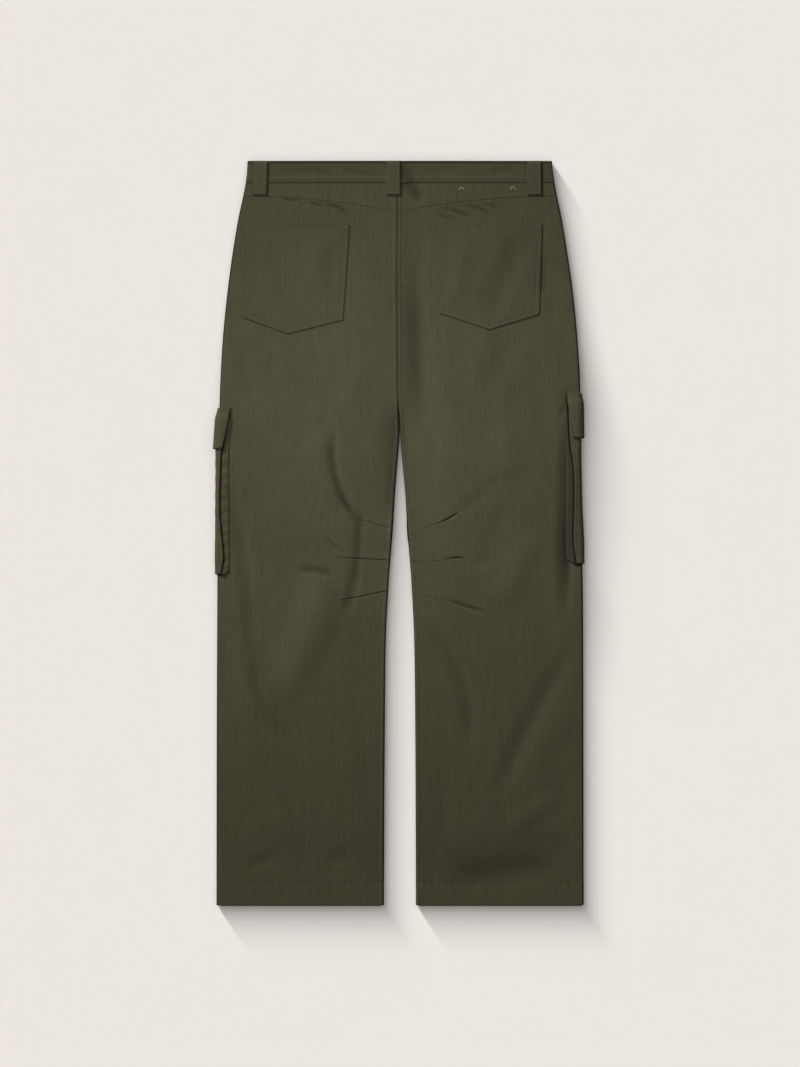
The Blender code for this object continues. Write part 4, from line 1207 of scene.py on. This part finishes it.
def patch_place(patch, share, down):
    """x and y at a share of the way across and down a pocket, whose lower edge has a point."""
    point_share = (patch.point[0] - patch.low_left[0]) / (patch.low_right[0] - patch.low_left[0])
    low = np.where(
        share < point_share,
        mix(patch.low_left[1], patch.point[1], share / point_share),
        mix(patch.point[1], patch.low_right[1], (share - point_share) / (1 - point_share)),
    )
    top_x = mix(patch.top_left[0], patch.top_right[0], share)
    x = mix(top_x, mix(patch.low_left[0], patch.low_right[0], share), down)
    return x, mix(mix(patch.top_left[1], patch.top_right[1], share), low, down)


def line_gap(x, y, a, b):
    """Distance of places from the line through a and b."""
    dx, dy = b[0] - a[0], b[1] - a[1]
    return np.abs((x - a[0]) * dy - (y - a[1]) * dx) / math.hypot(dx, dy)


def back_pocket(name, patch):
    side = CARGOS[name].side
    width, height = patch.top_right[0] - patch.top_left[0], patch.top_left[1] - patch.low_left[1]
    point_share = (patch.point[0] - patch.low_left[0]) / (patch.low_right[0] - patch.low_left[0])
    near = round_steps(PATCH_ROUND)
    sewn = np.array([0.0030, 0.0045, 0.0054, PATCH_STITCH, 0.0070, 0.0085])
    edge = np.concatenate([near, sewn]) / width
    to_point = np.linspace(edge[-1], point_share, 20)[1:]
    from_point = np.linspace(point_share, 1 - edge[-1], 20)[1:]
    shares = np.concatenate([edge, to_point, from_point, 1 - edge[::-1][1:]])
    in_hem = [0.0020, 0.0029, 0.0036, 0.0043, 0.0055, 0.0068, 0.0080, 0.0088, 0.0096, 0.0110]
    high = np.concatenate([near, in_hem]) / height
    low = np.concatenate([near, sewn]) / height
    downs = np.concatenate([high, np.linspace(high[-1], 1 - low[-1], 34)[1:], 1 - low[::-1][1:]])
    x, y = patch_place(patch, shares[None, :], downs[::-1][:, None])
    from_left = line_gap(x, y, patch.top_left, patch.low_left)
    from_right = line_gap(x, y, patch.top_right, patch.low_right)
    from_low = line_gap(x, y, patch.low_left, patch.point)
    from_low = np.minimum(from_low, line_gap(x, y, patch.point, patch.low_right))
    from_top = line_gap(x, y, patch.top_left, patch.top_right)
    from_edge = np.minimum(np.minimum(from_left, from_right), from_low)
    nearest = np.minimum(from_edge, from_top)
    rounded = quarter(nearest, PATCH_ROUND)
    relief = PATCH_FULLNESS * smooth(from_edge / 0.035) * smooth(from_top / 0.020)
    relief = relief + sewn_row(from_edge - PATCH_STITCH) + puckers(x + y, from_edge - PATCH_STITCH, 0.005)
    for row in PATCH_HEM:
        relief = relief + sewn_row(from_top - row)
    relief = relief + puckers(x * 1.1, from_top - 0.006, 0.006)
    z = upper_face(side, x, y) + LAY_GAP * 0.6 + (CLOTH + relief) * rounded
    # painted shade along the pocket's edges and rows of stitches, besides the shadow its step throws
    shade = 0.55 * fade(nearest, 0.0010) + 0.15 * bell(from_edge - PATCH_STITCH, 0.0009)
    shade = shade + crease_relief(FOLDS, x, y)[1] + crease_relief(BACK_CREASES, x, y)[1]
    for row in PATCH_HEM:
        shade = shade + 0.15 * bell(from_top - row, 0.0009)
    points = stack_points(x, y, z)
    made = cloth(f"back_pocket_{name}", points, (0, 0, 1), CLOTH * 0.8, POCKET_TWILL, shade)
    inset_x, inset_y = PATCH_STITCH / width, PATCH_STITCH / height
    lows = [k for k, s in enumerate(shares) if inset_x <= s <= 1 - inset_x]
    row = closest(downs[::-1], 1 - inset_y)
    left, right = closest(shares, inset_x), closest(shares, 1 - inset_x)
    across_low = points[row, lows[0]:lows[-1] + 1]
    around = np.concatenate([points[row:-5, left][::-1], across_low, points[row:-5, right]])
    hems = [points[closest(downs[::-1], row / height), 5:-5] for row in PATCH_HEM]
    stitches(f"back_pocket_{name}_stitches", [around, *hems], made)
    corners = [points[-7, 5:12], points[-7, -12:-5]]
    stitches(f"back_pocket_{name}_tacks", corners, made, pitch=0.0009, length=0.0020, radius=0.0003)
    return made


POCKETS = {name: back_pocket(name, patch) for name, patch in BACK_POCKETS.items()}

# %% [markdown]
# ## Bellows pockets on the thighs
#
# Seen from behind, a cargo pocket shows only where it comes round the side of the leg: the folded
# edge of its face, the gusset that lets it open like bellows, and the end of its flap. Each piece
# starts under the leg, wraps its side and lies on top, so all three use one wrapping path: the
# leg's own surface, moved out along its normal.

# %% The wrapping path
Strip = namedtuple("Strip", "share fold seam puff")
STRIPS = {
    "left": (
        Strip(0.00, 0.0092, 0.0175, 0.0004),
        Strip(0.20, 0.0044, 0.0150, 0.0016),
        Strip(0.38, 0.0034, 0.0150, 0.0011),
        Strip(0.54, 0.0030, 0.0152, 0.0010),
        Strip(0.66, 0.0038, 0.0158, 0.0011),
        Strip(0.80, 0.0068, 0.0166, 0.0014),
        Strip(0.88, 0.0086, 0.0170, 0.0016),
        Strip(1.00, 0.0054, 0.0165, 0.0008),
    ),
    "right": (
        Strip(0.00, 0.0170, 0.0215, 0.0001),
        Strip(0.22, 0.0134, 0.0192, 0.0002),
        Strip(0.41, 0.0082, 0.0192, 0.0002),
        Strip(0.65, 0.0088, 0.0206, 0.0003),
        Strip(0.87, 0.0106, 0.0228, 0.0014),
        Strip(1.00, 0.0078, 0.0220, 0.0006),
    ),
}
FlapEnd = namedtuple("FlapEnd", "reach puff")
FLAPS = {
    "left": (FlapEnd(0.0165, 0.0000), FlapEnd(0.0050, 0.0028)),
    "right": (FlapEnd(0.0200, 0.0000), FlapEnd(0.0086, 0.0018)),
}


def wrap(side, y, under, upper_inset, out, puff):
    """Points of a piece round the side of a leg, rows by columns, and its outward directions.

    under: insets below the leg, from far in to the roll; upper_inset: rows by columns on top.
    """
    rows = len(y)
    below = np.concatenate([under, ROLL_INSETS[::-1]])
    squeeze = np.minimum(upper_inset[:, :1] / ROLL, 1) * 0.97
    above = np.concatenate([ROLL_INSETS[None, :] * squeeze, upper_inset], axis=1)
    insets = np.concatenate([np.repeat(below[None, :], rows, axis=0), above], axis=1)
    outer = edges(side, y)[0][:, None]
    x = outer - side * insets
    on_top = np.arange(insets.shape[1]) >= len(below)
    height = y[:, None] + 0 * x
    z = np.where(on_top[None, :], upper_face(side, x, height), lower_face(side, x, height))
    base = stack_points(x, height, z)
    along = np.gradient(base, axis=1)
    normal = np.stack([-along[..., 2], 0 * along[..., 0], along[..., 0]], axis=-1) * -side
    normal /= np.maximum(np.linalg.norm(normal, axis=2, keepdims=True), 1e-9)
    points = base + normal * out(insets, height, on_top)[..., None]
    points[..., 0] += side * puff(height) * np.clip(1 - insets / ROLL, 0, 1)
    return points, normal, insets, on_top


# %% Pocket faces, gussets and flaps
FACE_ROUND, FLAP_ROUND = 0.0010, 0.0011
FRONT_ANGLES = (0, 30, 60, 90)
UNDER_STEP = 0.0045
BELLOWS_PITCH = 0.0170
BELLOWS_RISE = {"left": 0.0004, "right": 0.0001}
GUSSET_SHADE = {"left": 0.0, "right": 0.58}
GUSSET_SHARES = np.array([0.0, 0.16, 0.24, 0.30, 0.36, 0.44, 0.54, 0.66, 0.78, 0.88, 0.95, 1.0])
FLAP_TACK = 0.0058


def edge_rows(low, high, radius, step):
    near = round_steps(radius)
    middle = spaced((low + radius, high - radius, step))
    return np.concatenate([low + near[:-1], middle, high - near[::-1][1:]])


def strip_at(name, y):
    """Where the fold and the seam of a bag lie at these heights."""
    cargo = CARGOS[name]
    return read(STRIPS[name], (cargo.bag_top - y) / (cargo.bag_top - cargo.bag_bottom))


def flap_at(name, y):
    """How far a flap reaches and puffs at these heights."""
    cargo, (high, low) = CARGOS[name], FLAPS[name]
    share = (cargo.flap_top - y) / (cargo.flap_top - cargo.flap_bottom)
    return FlapEnd(mix(high.reach, low.reach, share), mix(high.puff, low.puff, share))


def up_to(edge, radius, count):
    """Insets on top of the leg from the roll to an edge, crowded at the edge."""
    near = round_steps(radius)[::-1]
    shares = np.linspace(0, 1, count + 1)[1:-1]
    start = np.minimum(ROLL, edge - radius * 1.2)[:, None]
    flat = start + (edge[:, None] - radius - start) * shares[None, :]
    return np.concatenate([flat, edge[:, None] - near[None, :]], axis=1)


def below_leg(front, radius):
    """Insets under the leg, from a sheet's rounded front edge to the roll."""
    steps = np.arange(front - 0.004, 0.008, -UNDER_STEP)
    return np.concatenate([front - round_steps(radius, FRONT_ANGLES), steps])


def cargo_face(name):
    """One sheet from its front edge, under the leg, to the fold on top."""
    cargo = CARGOS[name]
    y = edge_rows(cargo.bag_bottom, cargo.bag_top, FACE_ROUND, 0.0030)
    fold = strip_at(name, y).fold
    under = below_leg(cargo.inner, FACE_ROUND)

    def out(insets, height, on_top):
        from_fold = np.where(on_top, strip_at(name, height).fold - insets, 1.0)
        from_low = height - cargo.bag_bottom
        from_front = np.where(on_top, 1.0, cargo.inner - insets)
        nearest = np.minimum(np.minimum(from_fold, from_low), from_front)
        full = 0.0007 * bell(from_fold - 0.0016, 0.0018) * smooth(from_low / 0.02)
        crinkle = 0.00025 * np.sin(2 * np.pi * height / 0.023 + cargo.side) * bell(from_fold, 0.006)
        return FACE_OUT + full + crinkle - 0.0011 * (1 - quarter(nearest, FACE_ROUND))

    upper = up_to(fold, FACE_ROUND, 6)

    def puff(height):
        return strip_at(name, height).puff

    points, normal, insets, on_top = wrap(cargo.side, y, under, upper, out, puff)
    from_fold = np.where(on_top[None, :], fold[:, None] - insets, 1.0)
    shade = 0.7 * fade(from_fold, 0.0012) + 0.5 * fade(y[:, None] - cargo.bag_bottom, 0.0012)
    made = cloth(f"cargo_pocket_{name}", points, normal, CLOTH * 0.9, POCKET_TWILL, shade)
    hem_row = closest(y, cargo.bag_top - 0.020)
    front_column = closest(under, cargo.inner - 0.0063)
    low_row = closest(y, cargo.bag_bottom + 0.0060)
    lines = [points[hem_row, 4:], points[low_row:, front_column], points[low_row, front_column:]]
    stitches(f"cargo_pocket_{name}_stitches", lines, made, up=(0, 0, 0))
    return made


def ripple(height, phase=0.0):
    """The uneven waves of the bellows down a pocket."""
    return np.sin(2 * np.pi * (height + 0.002 * np.sin(height * 90)) / BELLOWS_PITCH + phase)


def cargo_gusset(name):
    """The bellows, from under the fold to their seam on the leg, and round the hidden sides."""
    cargo = CARGOS[name]
    low = cargo.bag_bottom - 0.0014
    y = edge_rows(low, cargo.bag_top, 0.0004, 0.0022)
    strip = strip_at(name, y)
    front = cargo.inner + GUSSET_MARGIN
    under = np.concatenate([[front, front - 0.0008, front - 0.004, front - GUSSET_STRIP],
                            np.arange(front - GUSSET_STRIP - 0.010, 0.012, -0.010)])
    tuck = np.maximum(strip.fold - 0.0025, ROLL + 0.0004)
    upper = tuck[:, None] + (strip.seam - tuck)[:, None] * GUSSET_SHARES[None, :]

    def out(insets, height, on_top):
        here = strip_at(name, height)
        t = np.clip((insets - here.fold) / np.maximum(here.seam - here.fold, 0.001), 0, 1)
        past_fold = insets > here.fold
        bulge = (0.0006 + BELLOWS_RISE[name] * ripple(height)) * np.sin(np.pi * t) * past_fold
        foot = 0.0010 * smooth(1 - (height - low) / 0.006) * past_fold
        sunk = 0.0010 * smooth((t - 0.93) / 0.07) * on_top
        return GAP + GUSSET_WALL + np.where(on_top, bulge + foot, 0) - sunk

    points, normal, insets, on_top = wrap(cargo.side, y, under, upper, out, lambda height: 0 * height)
    t = np.clip((insets - strip.fold[:, None]) / (strip.seam - strip.fold)[:, None], 0, 1)
    # the bottom of the bellows rises towards its seam like the lip of a cup
    rise = 0.0070 * smooth(1 - (y - low) / 0.012)
    points[..., 1] += np.where(on_top[None, :], rise[:, None] * smooth(t), 0)
    dark = bell(np.maximum(insets - strip.fold[:, None], 0), 0.0017) * on_top[None, :]
    grooves = np.clip(ripple(y[:, None], 2.2), 0, 1) * (t > 0.05)
    shade = 1.6 * dark + 130 * BELLOWS_RISE[name] * grooves + 0.15 * smooth((t - 0.9) / 0.08)
    shade = shade + GUSSET_SHADE[name] * on_top[None, :]
    shade = shade + 0.75 * smooth(1 - (y[:, None] - low) / 0.0022)
    covered = (y > cargo.flap_bottom - 0.001)[:, None] * on_top[None, :]
    shade = shade + 1.2 * bell(insets - flap_at(name, y).reach[:, None], 0.0020) * covered
    first = int(np.argmax(on_top))
    keep = np.zeros(points.shape[:2], bool)
    keep[:, first + len(ROLL_INSETS):] = True
    keep[:, :3] = True
    keep[y < low + 0.012, :] = True
    wall = GUSSET_WALL * 0.8
    made = cloth(f"cargo_gusset_{name}", points, normal, wall, POCKET_TWILL, shade, keep)
    stitches(f"cargo_gusset_{name}_stitches", [points[3:, -3]], made)
    return made


def cargo_flap(name):
    """Sewn down above the bag, and hanging over it."""
    cargo = CARGOS[name]
    y = edge_rows(cargo.flap_bottom, cargo.flap_top, FLAP_ROUND, 0.0022)
    reach = flap_at(name, y).reach
    front = cargo.inner + FLAP_MARGIN

    def out(insets, height, on_top):
        from_side = np.where(on_top, flap_at(name, height).reach - insets, 1.0)
        nearest = np.minimum(np.minimum(height - cargo.flap_bottom, cargo.flap_top - height), from_side)
        nearest = np.minimum(nearest, np.where(on_top, 1.0, front - insets))
        over_bag = smooth((cargo.flap_top - 0.001 - height) / (cargo.flap_top - cargo.bag_top))
        sewn = sewn_row(cargo.flap_top - height - FLAP_TACK)
        return FLAP_RISE + FACE_OUT * over_bag + 0.0004 + sewn - 0.0019 * (1 - quarter(nearest, FLAP_ROUND))

    under, upper = below_leg(front, FLAP_ROUND), up_to(reach, FLAP_ROUND, 7)

    def puff(height):
        return flap_at(name, height).puff

    points, normal, insets, on_top = wrap(cargo.side, y, under, upper, out, puff)
    from_side = np.where(on_top[None, :], reach[:, None] - insets, 1.0)
    shade = 0.8 * fade(from_side, 0.0022) + 1.3 * fade(y[:, None] - cargo.flap_bottom, 0.0023)
    shade = shade + 0.4 * fade(cargo.flap_top - y[:, None], 0.0014)
    shade = shade + 0.55 * bell(cargo.flap_top - y[:, None] - FLAP_TACK, 0.0010)
    made = cloth(f"cargo_flap_{name}", points, normal, FLAP_WALL * 0.6, POCKET_TWILL, shade)
    tack_row = closest(y, cargo.flap_top - FLAP_TACK)
    low_row = closest(y, cargo.flap_bottom + 0.0062)
    lines = [points[tack_row, 6:-4], points[low_row, 6:-4], points[low_row:tack_row, 6]]
    stitches(f"cargo_flap_{name}_stitches", lines, made, radius=0.00030, up=(0, 0, 0))
    first = int(np.argmax(on_top)) + len(ROLL_INSETS)
    tack = [points[tack_row, first:-3]]
    stitches(f"cargo_flap_{name}_tacks", tack, made, pitch=0.0010, length=0.0020, radius=0.00034)
    return made


BELLOWS = {name: (cargo_face(name), cargo_gusset(name), cargo_flap(name)) for name in CARGOS}

# %% [markdown]
# ## Fly, button and tacks
#
# These close the front, which lies underneath, and are finished plainly. The fly is a flat
# placket with a J-shaped row of stitches. The button is turned from a short cylinder: its face is
# inset for a rim and four holes are sunk in it, with the thread that holds it.

# %% Fly and button
BUTTON_X, BUTTON_Y = 0.004, BAND_SEAM + BAND_HEIGHT / 2 - FRONT_DIP
HOLE_OUT = 0.0013
FLY_INSET, FLY_TURN = 0.0055, 0.034


def fly():
    across = np.linspace(0, 1, 23)[None, :]
    down = np.linspace(1, 0, 60)[:, None]
    x = mix(FLY_LEFT, FLY_RIGHT, across) + 0 * down
    top = BAND_SEAM - front_dip(x, BAND_SEAM) - SEAM_GAP
    bottom = FLY_BOTTOM + FLY_CURVE * (1 - np.sqrt(np.clip(1 - (1 - across) ** 2, 0, 1)))
    y = mix(top, bottom, down)
    nearest = np.minimum(np.minimum(x - FLY_LEFT, FLY_RIGHT - x), y - bottom)
    z = 0.0009 * (1 - quarter(nearest, 0.0010))
    shade = 0.5 * fade(nearest, 0.0012)
    made = cloth("fly", stack_points(x, y, z), (0, 0, -1), CLOTH * 0.8, shade=shade)
    j_x = np.full(40, FLY_LEFT + FLY_INSET)
    j_y = np.linspace(BAND_SEAM - FRONT_DIP - 0.004, FLY_BOTTOM + FLY_TURN, 40)
    curve = np.linspace(0, np.pi / 2, 24)
    c_x = FLY_LEFT + FLY_INSET + (FLY_RIGHT - FLY_LEFT - FLY_INSET - 0.002) * (1 - np.cos(curve))
    c_y = FLY_BOTTOM + FLY_TURN - 0.028 * np.sin(curve)
    line = stack_points(np.concatenate([j_x, c_x]), np.concatenate([j_y, c_y]), 0.0002)
    stitches("fly_stitches", [line], made, up=(0, 0, -0.3))
    return made


def disc(bm, radius, thick, segments, place=None):
    where = place or Matrix.Identity(4)
    sizes = {"radius1": radius, "radius2": radius, "depth": thick}
    bmesh.ops.create_cone(bm, cap_ends=True, segments=segments, matrix=where, **sizes)


def button():
    bm = bmesh.new()
    disc(bm, BUTTON_RADIUS, BUTTON_THICK, 48)
    rim = [edge for edge in bm.edges if any(len(face.verts) > 4 for face in edge.link_faces)]
    bmesh.ops.bevel(bm, geom=rim, offset=0.0006, segments=3, profile=0.5, material=-1, affect="EDGES")
    face = min(bm.faces, key=lambda f: f.calc_center_median().z)
    bmesh.ops.inset_region(bm, faces=[face], thickness=0.0016, depth=0)
    bmesh.ops.inset_region(bm, faces=[face], thickness=0.0006, depth=-0.0004)
    bmesh.ops.translate(bm, verts=bm.verts[:], vec=(BUTTON_X, BUTTON_Y, BUTTON_THICK / 2))
    made = finish_piece("waist_button_horn", bm, 0, HORN, "waist_button")
    holes = bmesh.new()
    for dx, dy in ((-1, -1), (1, -1), (1, 1), (-1, 1)):
        place = Matrix.Translation((BUTTON_X + dx * HOLE_OUT, BUTTON_Y + dy * HOLE_OUT, 0.0011))
        disc(holes, 0.0007, 0.0017, 16, place)
    cutter = bpy.data.objects.new("holes", bpy.data.meshes.new("holes"))
    holes.to_mesh(cutter.data)
    holes.free()
    bpy.context.scene.collection.objects.link(cutter)
    cut = made.modifiers.new("holes", "BOOLEAN")
    cut.object, cut.solver = cutter, "EXACT"
    bpy.context.view_layer.update()
    shaped = bpy.data.meshes.new_from_object(made.evaluated_get(bpy.context.evaluated_depsgraph_get()))
    made.modifiers.clear()
    made.data = shaped
    bpy.data.objects.remove(cutter, do_unlink=True)
    crossed = bmesh.new()
    for y in (-HOLE_OUT, HOLE_OUT):
        place = Matrix.Translation((BUTTON_X, BUTTON_Y + y, 0.0005))
        place = place @ Matrix.Diagonal((0.0019, 0.0004, 0.0003, 1))
        bmesh.ops.create_uvsphere(crossed, u_segments=10, v_segments=6, radius=1, matrix=place)
    finish_piece("waist_button_thread", crossed, 0, THREAD, None)
    print("button", len(made.data.polygons), "faces")
    return made


def horn(name):
    """Dark brown horn: cloudy streaks under a satin polish."""
    made, node = new_material(name)
    where = node("ShaderNodeTexCoord").outputs["Object"]
    cloud = maths(node, "ADD", streaks(node, where, 420, 160, 4.0), 0.5)
    ramp = node("ShaderNodeValToRGB", Fac=cloud)
    ramp.color_ramp.elements[0].position, ramp.color_ramp.elements[1].position = 0.35, 0.68
    ramp.color_ramp.elements[0].color = (0.014, 0.010, 0.006, 1)
    ramp.color_ramp.elements[1].color = (0.070, 0.050, 0.030, 1)
    bump = node("ShaderNodeBump", Height=cloud, Strength=0.1, Distance=0.0001)
    colour, lumps = ramp.outputs[0], bump.outputs[0]
    shader = node("ShaderNodeBsdfPrincipled", Base_Color=colour, Roughness=0.34, Normal=lumps)
    node("ShaderNodeOutputMaterial", Surface=shader.outputs[0])
    return made


HORN = horn("brown_horn")
FLY = fly()
BUTTON = button()

# %% [markdown]
# Under the waistband on the right two small crossed stitches show, where something inside is
# tacked to the yoke. They are a few threads each, paler than the cloth.

# %% Tack stitches on the right yoke
TACKS = ((0.0921, 0.4992), (0.1660, 0.5000))
Stroke = namedtuple("Stroke", "x1 y1 x2 y2")
TACK_STROKES = (
    Stroke(-0.0038, -0.0040, 0.0002, 0.0042),
    Stroke(0.0036, -0.0040, 0.0004, 0.0030),
    Stroke(-0.0052, -0.0012, -0.0016, 0.0036),
)
TACK_LENGTH, TACK_RADIUS = 0.0082, 0.00052


def tack_lines():
    lines = []
    for x, y in TACKS:
        for stroke in TACK_STROKES:
            ends = [(x + stroke.x1, y + stroke.y1), (x + stroke.x2, y + stroke.y2)]
            lines.append(on_leg(RIGHT, ends, 0.0001, 6))
    return lines


stitches("yoke_right_tacks", tack_lines(), YOKES["right"], TACK_THREAD, 0.0080, TACK_LENGTH, TACK_RADIUS)

# %% [markdown]
# ## The cut of each piece
#
# The flat size each sheet was cut to is worked out here, measured over the cloth; nothing
# is done with it afterwards.

for made, size, area, sewn_on in SHEETS:
    node = made.name.removesuffix("_cloth")
    family, _, which = node.rpartition("_")
    if family == "cargo_gusset":  # a strip, cut straight and turned at the two lower corners
        length = 2 * size[1] + CARGOS[which].inner
        size = (area / length, length)
    share = min(area / (size[0] * size[1]), 1.0)
    area = share * size[0] * size[1]
print(len(SHEETS), "sheets")

# %% [markdown]
# ## Table, light and camera
#
# The trousers lie on pale paper and are seen from straight above through a long lens. Light comes
# softly from the upper left: its low part rakes the paper and leaves a wide faint shadow below
# and to the right. A higher key lamp and a broad one over the thighs light the cloth. The paper
# and the cloth each have lamps of their own, as in a studio where flags keep one lamp off the
# backdrop.

# %% Table
PAPER_COLOUR = (0.838, 0.799, 0.753)


def paper(name):
    made, node = new_material(name)
    where = node("ShaderNodeTexCoord").outputs["Object"]
    fibre = streaks(node, where, 900, 900, 2.0)
    bump = node("ShaderNodeBump", Height=fibre, Strength=0.05, Distance=0.0002)
    shader = node(
        "ShaderNodeBsdfPrincipled",
        Base_Color=(*PAPER_COLOUR, 1),
        Roughness=1.0,
        Specular_IOR_Level=0.0,
        Normal=bump.outputs[0],
    )
    node("ShaderNodeOutputMaterial", Surface=shader.outputs[0])
    return made


bm = bmesh.new()
bmesh.ops.create_grid(bm, x_segments=2, y_segments=2, size=40.0)
bmesh.ops.translate(bm, verts=bm.verts[:], vec=(0, 0, -0.0004))
table = bpy.data.objects.new("table", bpy.data.meshes.new("table"))
bm.to_mesh(table.data)
bm.free()
table.data.materials.append(paper("pale_paper"))
bpy.context.scene.collection.objects.link(table)

# %% Lamps
ON_TABLE = bpy.data.collections.new("lit by the table's lamps")
ON_TABLE.objects.link(table)
ON_CLOTH = bpy.data.collections.new("lit by the cloth's lamps")
ON_CLOTH.objects.link(table)
ON_CLOTH.collection_objects[0].light_linking.link_state = "EXCLUDE"
# only the big panels shade the table; the pockets, flaps and loops are left out of its shadow
SHADING = bpy.data.collections.new("shades the table")
for made, *_ in SHEETS:
    if made.name.startswith(("back_leg", "front_leg", "yoke", "waistband")):
        SHADING.objects.link(made)


def lamp(name, kind, place, target, energy, receivers, blockers=None, colour=(1, 1, 1), **settings):
    data = bpy.data.lights.new(name, kind)
    data.energy, data.color = energy, colour
    for key, value in settings.items():
        setattr(data, key, value)
    made = bpy.data.objects.new(name, data)
    made.location = place
    made.rotation_euler = (Vector(target) - Vector(place)).to_track_quat("-Z", "Y").to_euler()
    bpy.context.scene.collection.objects.link(made)
    made.light_linking.receiver_collection = receivers
    made.light_linking.blocker_collection = blockers
    return made


def from_sky(azimuth, elevation, distance=4.0):
    """A place in the sky: azimuth is turned left from the top of the garment."""
    a, e = math.radians(azimuth), math.radians(elevation)
    level = math.cos(e) * distance
    return (-math.sin(a) * level, math.cos(a) * level, math.sin(e) * distance)


# Elevation of each of the table's lamps, the share of its light and how wide the lamp is. Low
# lamps draw the long faint end of the shadow, high ones its dark root.
TableLamp = namedtuple("TableLamp", "elevation share width")
TABLE_LAMPS = (
    TableLamp(4.6, 0.120, 4),
    TableLamp(7.0, 0.125, 6),
    TableLamp(10.5, 0.115, 8),
    TableLamp(16.0, 0.110, 12),
    TableLamp(28.0, 0.120, 22),
    TableLamp(80.0, 0.410, 150),
)
TABLE_LIGHT, TABLE_AZIMUTH = 2.83, 33
for row in TABLE_LAMPS:
    strength = TABLE_LIGHT * row.share / math.sin(math.radians(row.elevation))
    place, width = from_sky(TABLE_AZIMUTH, row.elevation), math.radians(row.width)
    lamp(f"table {row.elevation:.0f}", "SUN", place, (0, 0, 0), strength, ON_TABLE, SHADING, angle=width)
lamp("cloth key", "SUN", from_sky(40, 24), (0, 0, 0), 3.5, ON_CLOTH, angle=math.radians(10))
lamp("cloth overhead", "AREA", (-0.06, 0.21, 0.50), (-0.06, 0.21, 0), 1.25, ON_CLOTH, shape="DISK", size=0.25)

world = bpy.data.worlds.new("studio")
bpy.context.scene.world = world
world.use_nodes = True
world.node_tree.nodes["Background"].inputs[0].default_value = (1.0, 0.98, 0.95, 1)
world.node_tree.nodes["Background"].inputs[1].default_value = 0.10
bpy.context.scene.view_settings.view_transform = "Standard"

# %% Camera
VIEW_WIDTH, VIEW_DISTANCE, SENSOR = 1.1608, 6.0, 36.0
lens = bpy.data.cameras.new("camera")
lens.sensor_fit, lens.sensor_width = "HORIZONTAL", SENSOR
lens.lens = SENSOR * VIEW_DISTANCE / VIEW_WIDTH
lens.clip_end = 50
camera = bpy.data.objects.new("camera", lens)
camera.location = (0.0018, 0.0000, VIEW_DISTANCE)
bpy.context.scene.collection.objects.link(camera)
bpy.context.scene.camera = camera
